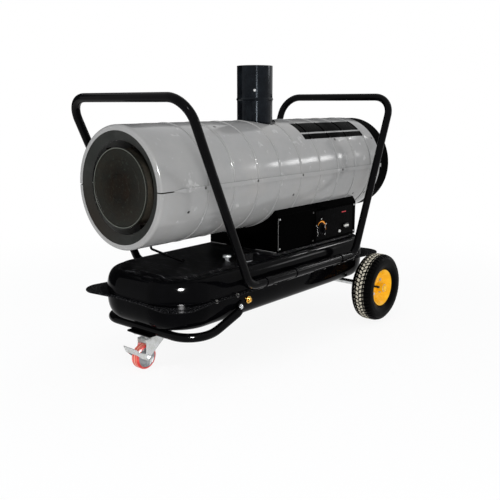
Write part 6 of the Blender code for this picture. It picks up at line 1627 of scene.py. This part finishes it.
# Distance and angle above the seam of the screws that hold what is inside.
WALL_SCREWS = ((0.117, -21), (0.635, -21), (1.060, -34), (1.152, -36), (0.342, 67), (0.928, 37),
               (1.193, 35))
shell_screw = pan_head("shell_screw_head", 0.0050, 0.0014)
shell_spots = [((OUTLET + x, side * (SHELL_RADIUS + SEAM_STEP), BARREL_HEIGHT + SEAM_SCREW_RISE),
                (0, side, 0)) for x in SEAM_SCREWS for side in (-1, 1)]
for distance, angle in WALL_SCREWS:
    for side in (-1, 1):
        way = Vector((0, side * math.cos(math.radians(angle)), math.sin(math.radians(angle))))
        middle = Vector((OUTLET + distance, 0, BARREL_HEIGHT))
        shell_spots.append((middle + way * (SHELL_RADIUS + BAND_BULGE), way))
fastened("barrel_screws", shell_screw, dark_zinc, shell_spots)


# Name plate: two thin black lacquered strips on the upper half, left bare. They follow the ribs,
# and the lacquer is a flat black with hardly a reflection.

plate_lacquer = coated(
    "black_lacquered_foil", "#030303", "#060606", 30.0, 0.5, (0.24, 0.36), 1.2, 0.02,
    Specular_IOR_Level=0.006)
PLATE_START = 0.742
PLATE_END = 1.138
PLATE_LIFT = 0.0001
PLATE_FACE = 0.0005
PLATE_STEPS = 16
plate_places = [(PLATE_START, SHELL_RADIUS)] + [
    (x, r) for x, r, inner in shell_places() if PLATE_START < x < PLATE_END] + [(PLATE_END, SHELL_RADIUS)]
for name, low_angle, high_angle in (("wide_plate", 49.5, 67.5), ("narrow_plate", 39.5, 47.0)):
    sweep = high_angle - low_angle
    dress(shaped(name, lofted, [
        [(OUTLET + distance, a, BARREL_HEIGHT + b)
         for a, b in arc((0, 0), radius + PLATE_FACE, 180 - high_angle, sweep, PLATE_STEPS)
         + arc((0, 0), radius + PLATE_LIFT, 180 - low_angle, -sweep, PLATE_STEPS)]
        for distance, radius in plate_places]), plate_lacquer)


# Outlet ring: a funnel of coated sheet behind the lip that narrows the outlet round the chamber.
# It is dark grey, smoked by the hot air, and brown at its lower left.

smoked_ring = coated(
    "smoked_outlet_sheet", "#2C2D2B", "#222321", 50.0, 0.8, (0.30, 0.55), 2.0, 0.04,
    Specular_IOR_Level=0.07)
smoke_tree = smoked_ring.node_tree
smoke_sides = add_node(
    smoke_tree, "ShaderNodeSeparateXYZ",
    {0: add_node(smoke_tree, "ShaderNodeTexCoord").outputs["Object"]})
smoke_low = add_node(
    smoke_tree, "ShaderNodeMapRange",
    {"Value": smoke_sides.outputs["Z"], "From Min": BARREL_HEIGHT + 0.05,
     "From Max": BARREL_HEIGHT - 0.12, "To Max": 0.95})
smoke_far = add_node(
    smoke_tree, "ShaderNodeMapRange",
    {"Value": smoke_sides.outputs["Y"], "From Min": -0.02, "From Max": 0.14})
tinted(smoked_ring, add_node(
    smoke_tree, "ShaderNodeMath", {0: smoke_low, 1: smoke_far}, operation="MULTIPLY"), "#221D17")
FUNNEL_PROFILE = (
    (0.0018, 0.1780), (0.0018, 0.1697, 0.002), (0.0150, 0.1400, 0.002), (0.0162, 0.1412),
    (0.0030, 0.1709, 0.002), (0.0030, 0.1780))
dress(shaped("outlet_funnel", spun, FUNNEL_PROFILE, (OUTLET, 0, BARREL_HEIGHT), ALONG, 0.0003, 128),
      smoked_ring, "outlet_cone")


# Flue: a pipe of enamelled sheet that stands on the chamber, with a rolled bead, a lock screw and
# a saddle ring where it passes the barrel. The enamel is glossy blue-black with upright streaks.

flue_enamel = coated(
    "blue_black_enamel", "#07080B", "#14181C", 34.0, 0.7, (0.10, 0.20), 2.6, 0.0015,
    Specular_IOR_Level=0.13, Specular_Tint=colour("#D6E2EE"))
FLUE_BEAD = 0.845
FLUE_BEAD_HALF = 0.0055
FLUE_BEAD_RISE = 0.0030
FLUE_INSIDE = FLUE_RADIUS - 0.0012
CHAMBER_GAP = 0.0004
pipe_low, pipe_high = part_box("flue_pipe")
pipe = shaped("flue_pipe_wall", spun, (
    (pipe_low.z, FLUE_INSIDE), (pipe_low.z, FLUE_RADIUS),
    (FLUE_BEAD - FLUE_BEAD_HALF, FLUE_RADIUS, 0.002), (FLUE_BEAD, FLUE_RADIUS + FLUE_BEAD_RISE, 0.003),
    (FLUE_BEAD + FLUE_BEAD_HALF, FLUE_RADIUS, 0.002), (pipe_high.z, FLUE_RADIUS),
    (pipe_high.z, FLUE_INSIDE)), (FLUE_X, 0, 0), fillet=0.0003, steps=96)
carve(pipe, shaped("chamber_room", spun, rod(CHAMBER_RADIUS + CHAMBER_GAP, OUTLET, -OUTLET),
                   **ON_BARREL, steps=96))
dress(pipe, flue_enamel, "flue_pipe")

SADDLE_BORE = FLUE_RADIUS + 0.0004
SADDLE_RADIUS = FLUE_RADIUS + 0.010
SADDLE_LOW = BARREL_HEIGHT + 0.09
SADDLE_HIGH = BARREL_HEIGHT + 0.1908
SADDLE_RISE = 0.0036
collar = shaped("flue_saddle_ring", spun, (
    (SADDLE_LOW, SADDLE_BORE), (SADDLE_LOW, SADDLE_RADIUS), (SADDLE_HIGH, SADDLE_RADIUS),
    (SADDLE_HIGH, SADDLE_BORE)), (FLUE_X, 0, 0), steps=96)
for reach, operation in ((SHELL_CLEAR, "DIFFERENCE"), (SADDLE_RISE, "INTERSECT")):
    carve(collar, shaped("barrel_form", spun, rod(SHELL_RADIUS + reach, OUTLET, -OUTLET), **ON_BARREL,
                         steps=128), operation)
dress(collar, flue_enamel, "flue_collar", edge=0.0006)
FLUE_SCREW_HEIGHT = 0.875
FLUE_SCREW_ANGLE = math.radians(219)
flue_screw = pan_head("flue_screw_head", 0.0052, 0.0022)
flue_way = Vector((math.cos(FLUE_SCREW_ANGLE), math.sin(FLUE_SCREW_ANGLE), 0))
fastened("flue_lock_screw", flue_screw, bright_zinc, [
    (Vector((FLUE_X, 0, FLUE_SCREW_HEIGHT)) + flue_way * FLUE_RADIUS, flue_way)])


# Rear ring and guard: a rolled black sleeve in the barrel's end and a welded wire guard in it.
# The sleeve's paint is matt and takes up the light.

matt_sleeve = coated(
    "matt_black_sleeve_paint", "#020202", "#050505", 40.0, 0.6, (0.38, 0.52), 1.6, 0.02,
    Specular_IOR_Level=0.002)
RING_RADIUS = 0.1852
RING_INSIDE = 0.1840
RING_LIP = 0.1815
RING_START = OUTLET + 1.160
ring_end = cad_high.x
dress(shaped("rear_sleeve", spun, (
    (RING_START, RING_INSIDE), (RING_START, RING_RADIUS), (ring_end, RING_RADIUS, 0.002),
    (ring_end, RING_LIP, 0.001), (ring_end - 0.006, RING_LIP, 0.0012),
    (ring_end - 0.0072, RING_INSIDE, 0.001)), **ON_BARREL, fillet=0.0003, steps=128),
    matt_sleeve, "rear_ring")

GUARD_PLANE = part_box("fan_guard")[0].x + 0.0022
GUARD_OUTER = 0.1818
GUARD_INNER = 0.032
GUARD_RINGS = 7
GUARD_SPOKES = 8
GUARD_WIRE = 0.0014
wire_tree, wire_in = nodes_tree("wire_guard", {
    "Geometry": "Geometry", "Rings": "Int", "Spokes": "Int", "Inner": "Float", "Outer": "Float",
    "Wire": "Float", "Centre": "Vector", "Finish": "Material"})
wire_number = add_node(wire_tree, "GeometryNodeInputIndex")
wire_line = add_node(
    wire_tree, "GeometryNodeMeshLine", {"Count": wire_in["Rings"], "Offset": (0.0, 0.0, 0.0)})
wire_circle = add_node(wire_tree, "GeometryNodeCurvePrimitiveCircle", {"Resolution": 96, "Radius": 1.0})
wire_last = add_node(wire_tree, "ShaderNodeMath", {0: wire_in["Rings"], 1: 1.0}, operation="SUBTRACT")
wire_share = add_node(
    wire_tree, "ShaderNodeMapRange",
    {"Value": wire_number, "From Min": 0.0, "From Max": wire_last, "To Min": wire_in["Inner"],
     "To Max": wire_in["Outer"]})
wire_reach = add_node(
    wire_tree, "ShaderNodeCombineXYZ", {"X": wire_share, "Y": wire_share, "Z": wire_share})
wire_rings = add_node(
    wire_tree, "GeometryNodeInstanceOnPoints",
    {"Points": wire_line, "Instance": wire_circle, "Scale": wire_reach})
spoke_from = add_node(wire_tree, "ShaderNodeCombineXYZ", {"X": wire_in["Inner"], "Z": wire_in["Wire"]})
spoke_to = add_node(wire_tree, "ShaderNodeCombineXYZ", {"X": wire_in["Outer"], "Z": wire_in["Wire"]})
spoke = add_node(
    wire_tree, "GeometryNodeCurvePrimitiveLine", {"Start": spoke_from, "End": spoke_to})
spoke_step = add_node(
    wire_tree, "ShaderNodeMath", {0: math.tau, 1: wire_in["Spokes"]}, operation="DIVIDE")
spoke_turn = add_node(
    wire_tree, "ShaderNodeMath", {0: wire_number, 1: spoke_step}, operation="MULTIPLY")
spoke_line = add_node(
    wire_tree, "GeometryNodeMeshLine", {"Count": wire_in["Spokes"], "Offset": (0.0, 0.0, 0.0)})
spokes = add_node(
    wire_tree, "GeometryNodeInstanceOnPoints",
    {"Points": spoke_line, "Instance": spoke,
     "Rotation": add_node(wire_tree, "ShaderNodeCombineXYZ", {"Z": spoke_turn})})
wire_all = add_node(wire_tree, "GeometryNodeJoinGeometry")
for part in (wire_rings, spokes):
    wire_tree.links.new(part.outputs[0], wire_all.inputs[0])
wire_plain = add_node(wire_tree, "GeometryNodeRealizeInstances", {"Geometry": wire_all})
wire_profile = add_node(
    wire_tree, "GeometryNodeCurvePrimitiveCircle", {"Resolution": 10, "Radius": wire_in["Wire"]})
wire_skin = add_node(
    wire_tree, "GeometryNodeCurveToMesh",
    {"Curve": wire_plain, "Profile Curve": wire_profile, "Fill Caps": True})
wire_up = add_node(
    wire_tree, "GeometryNodeTransform",
    {"Geometry": wire_skin, "Rotation": (0.0, math.pi / 2, 0.0), "Translation": wire_in["Centre"]})
closing(wire_tree, wire_up, wire_in["Finish"])
dress(grown(object_of("intake_guard_wires", bmesh.new()), wire_tree, Rings=GUARD_RINGS,
            Spokes=GUARD_SPOKES, Inner=GUARD_INNER, Outer=GUARD_OUTER, Wire=GUARD_WIRE,
            Centre=(GUARD_PLANE, 0.0, BARREL_HEIGHT), Finish=tube_coat),
      tube_coat, "fan_guard")


# Front stay: a thin rod, bent at both ends and coated black, that holds the barrel's front up
# from the tank's top.

STAY_RADIUS = 0.0039
STAY_TOP = (0.3977, 0.3837)
STAY_BEND = 0.010
stay_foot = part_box("front_stay_rod")[0].z + 0.004
stay_line = bent_line((
    (OUTLET + 0.122, 0, STAY_TOP[0]), (OUTLET + 0.122, 0, STAY_TOP[1]), (OUTLET + 0.251, 0, stay_foot),
    (OUTLET + 0.265, 0, stay_foot)), (STAY_BEND, STAY_BEND))
dress(shaped("front_stay", swept, stay_line, STAY_RADIUS, sides=16), tube_coat, "front_stay_rod")
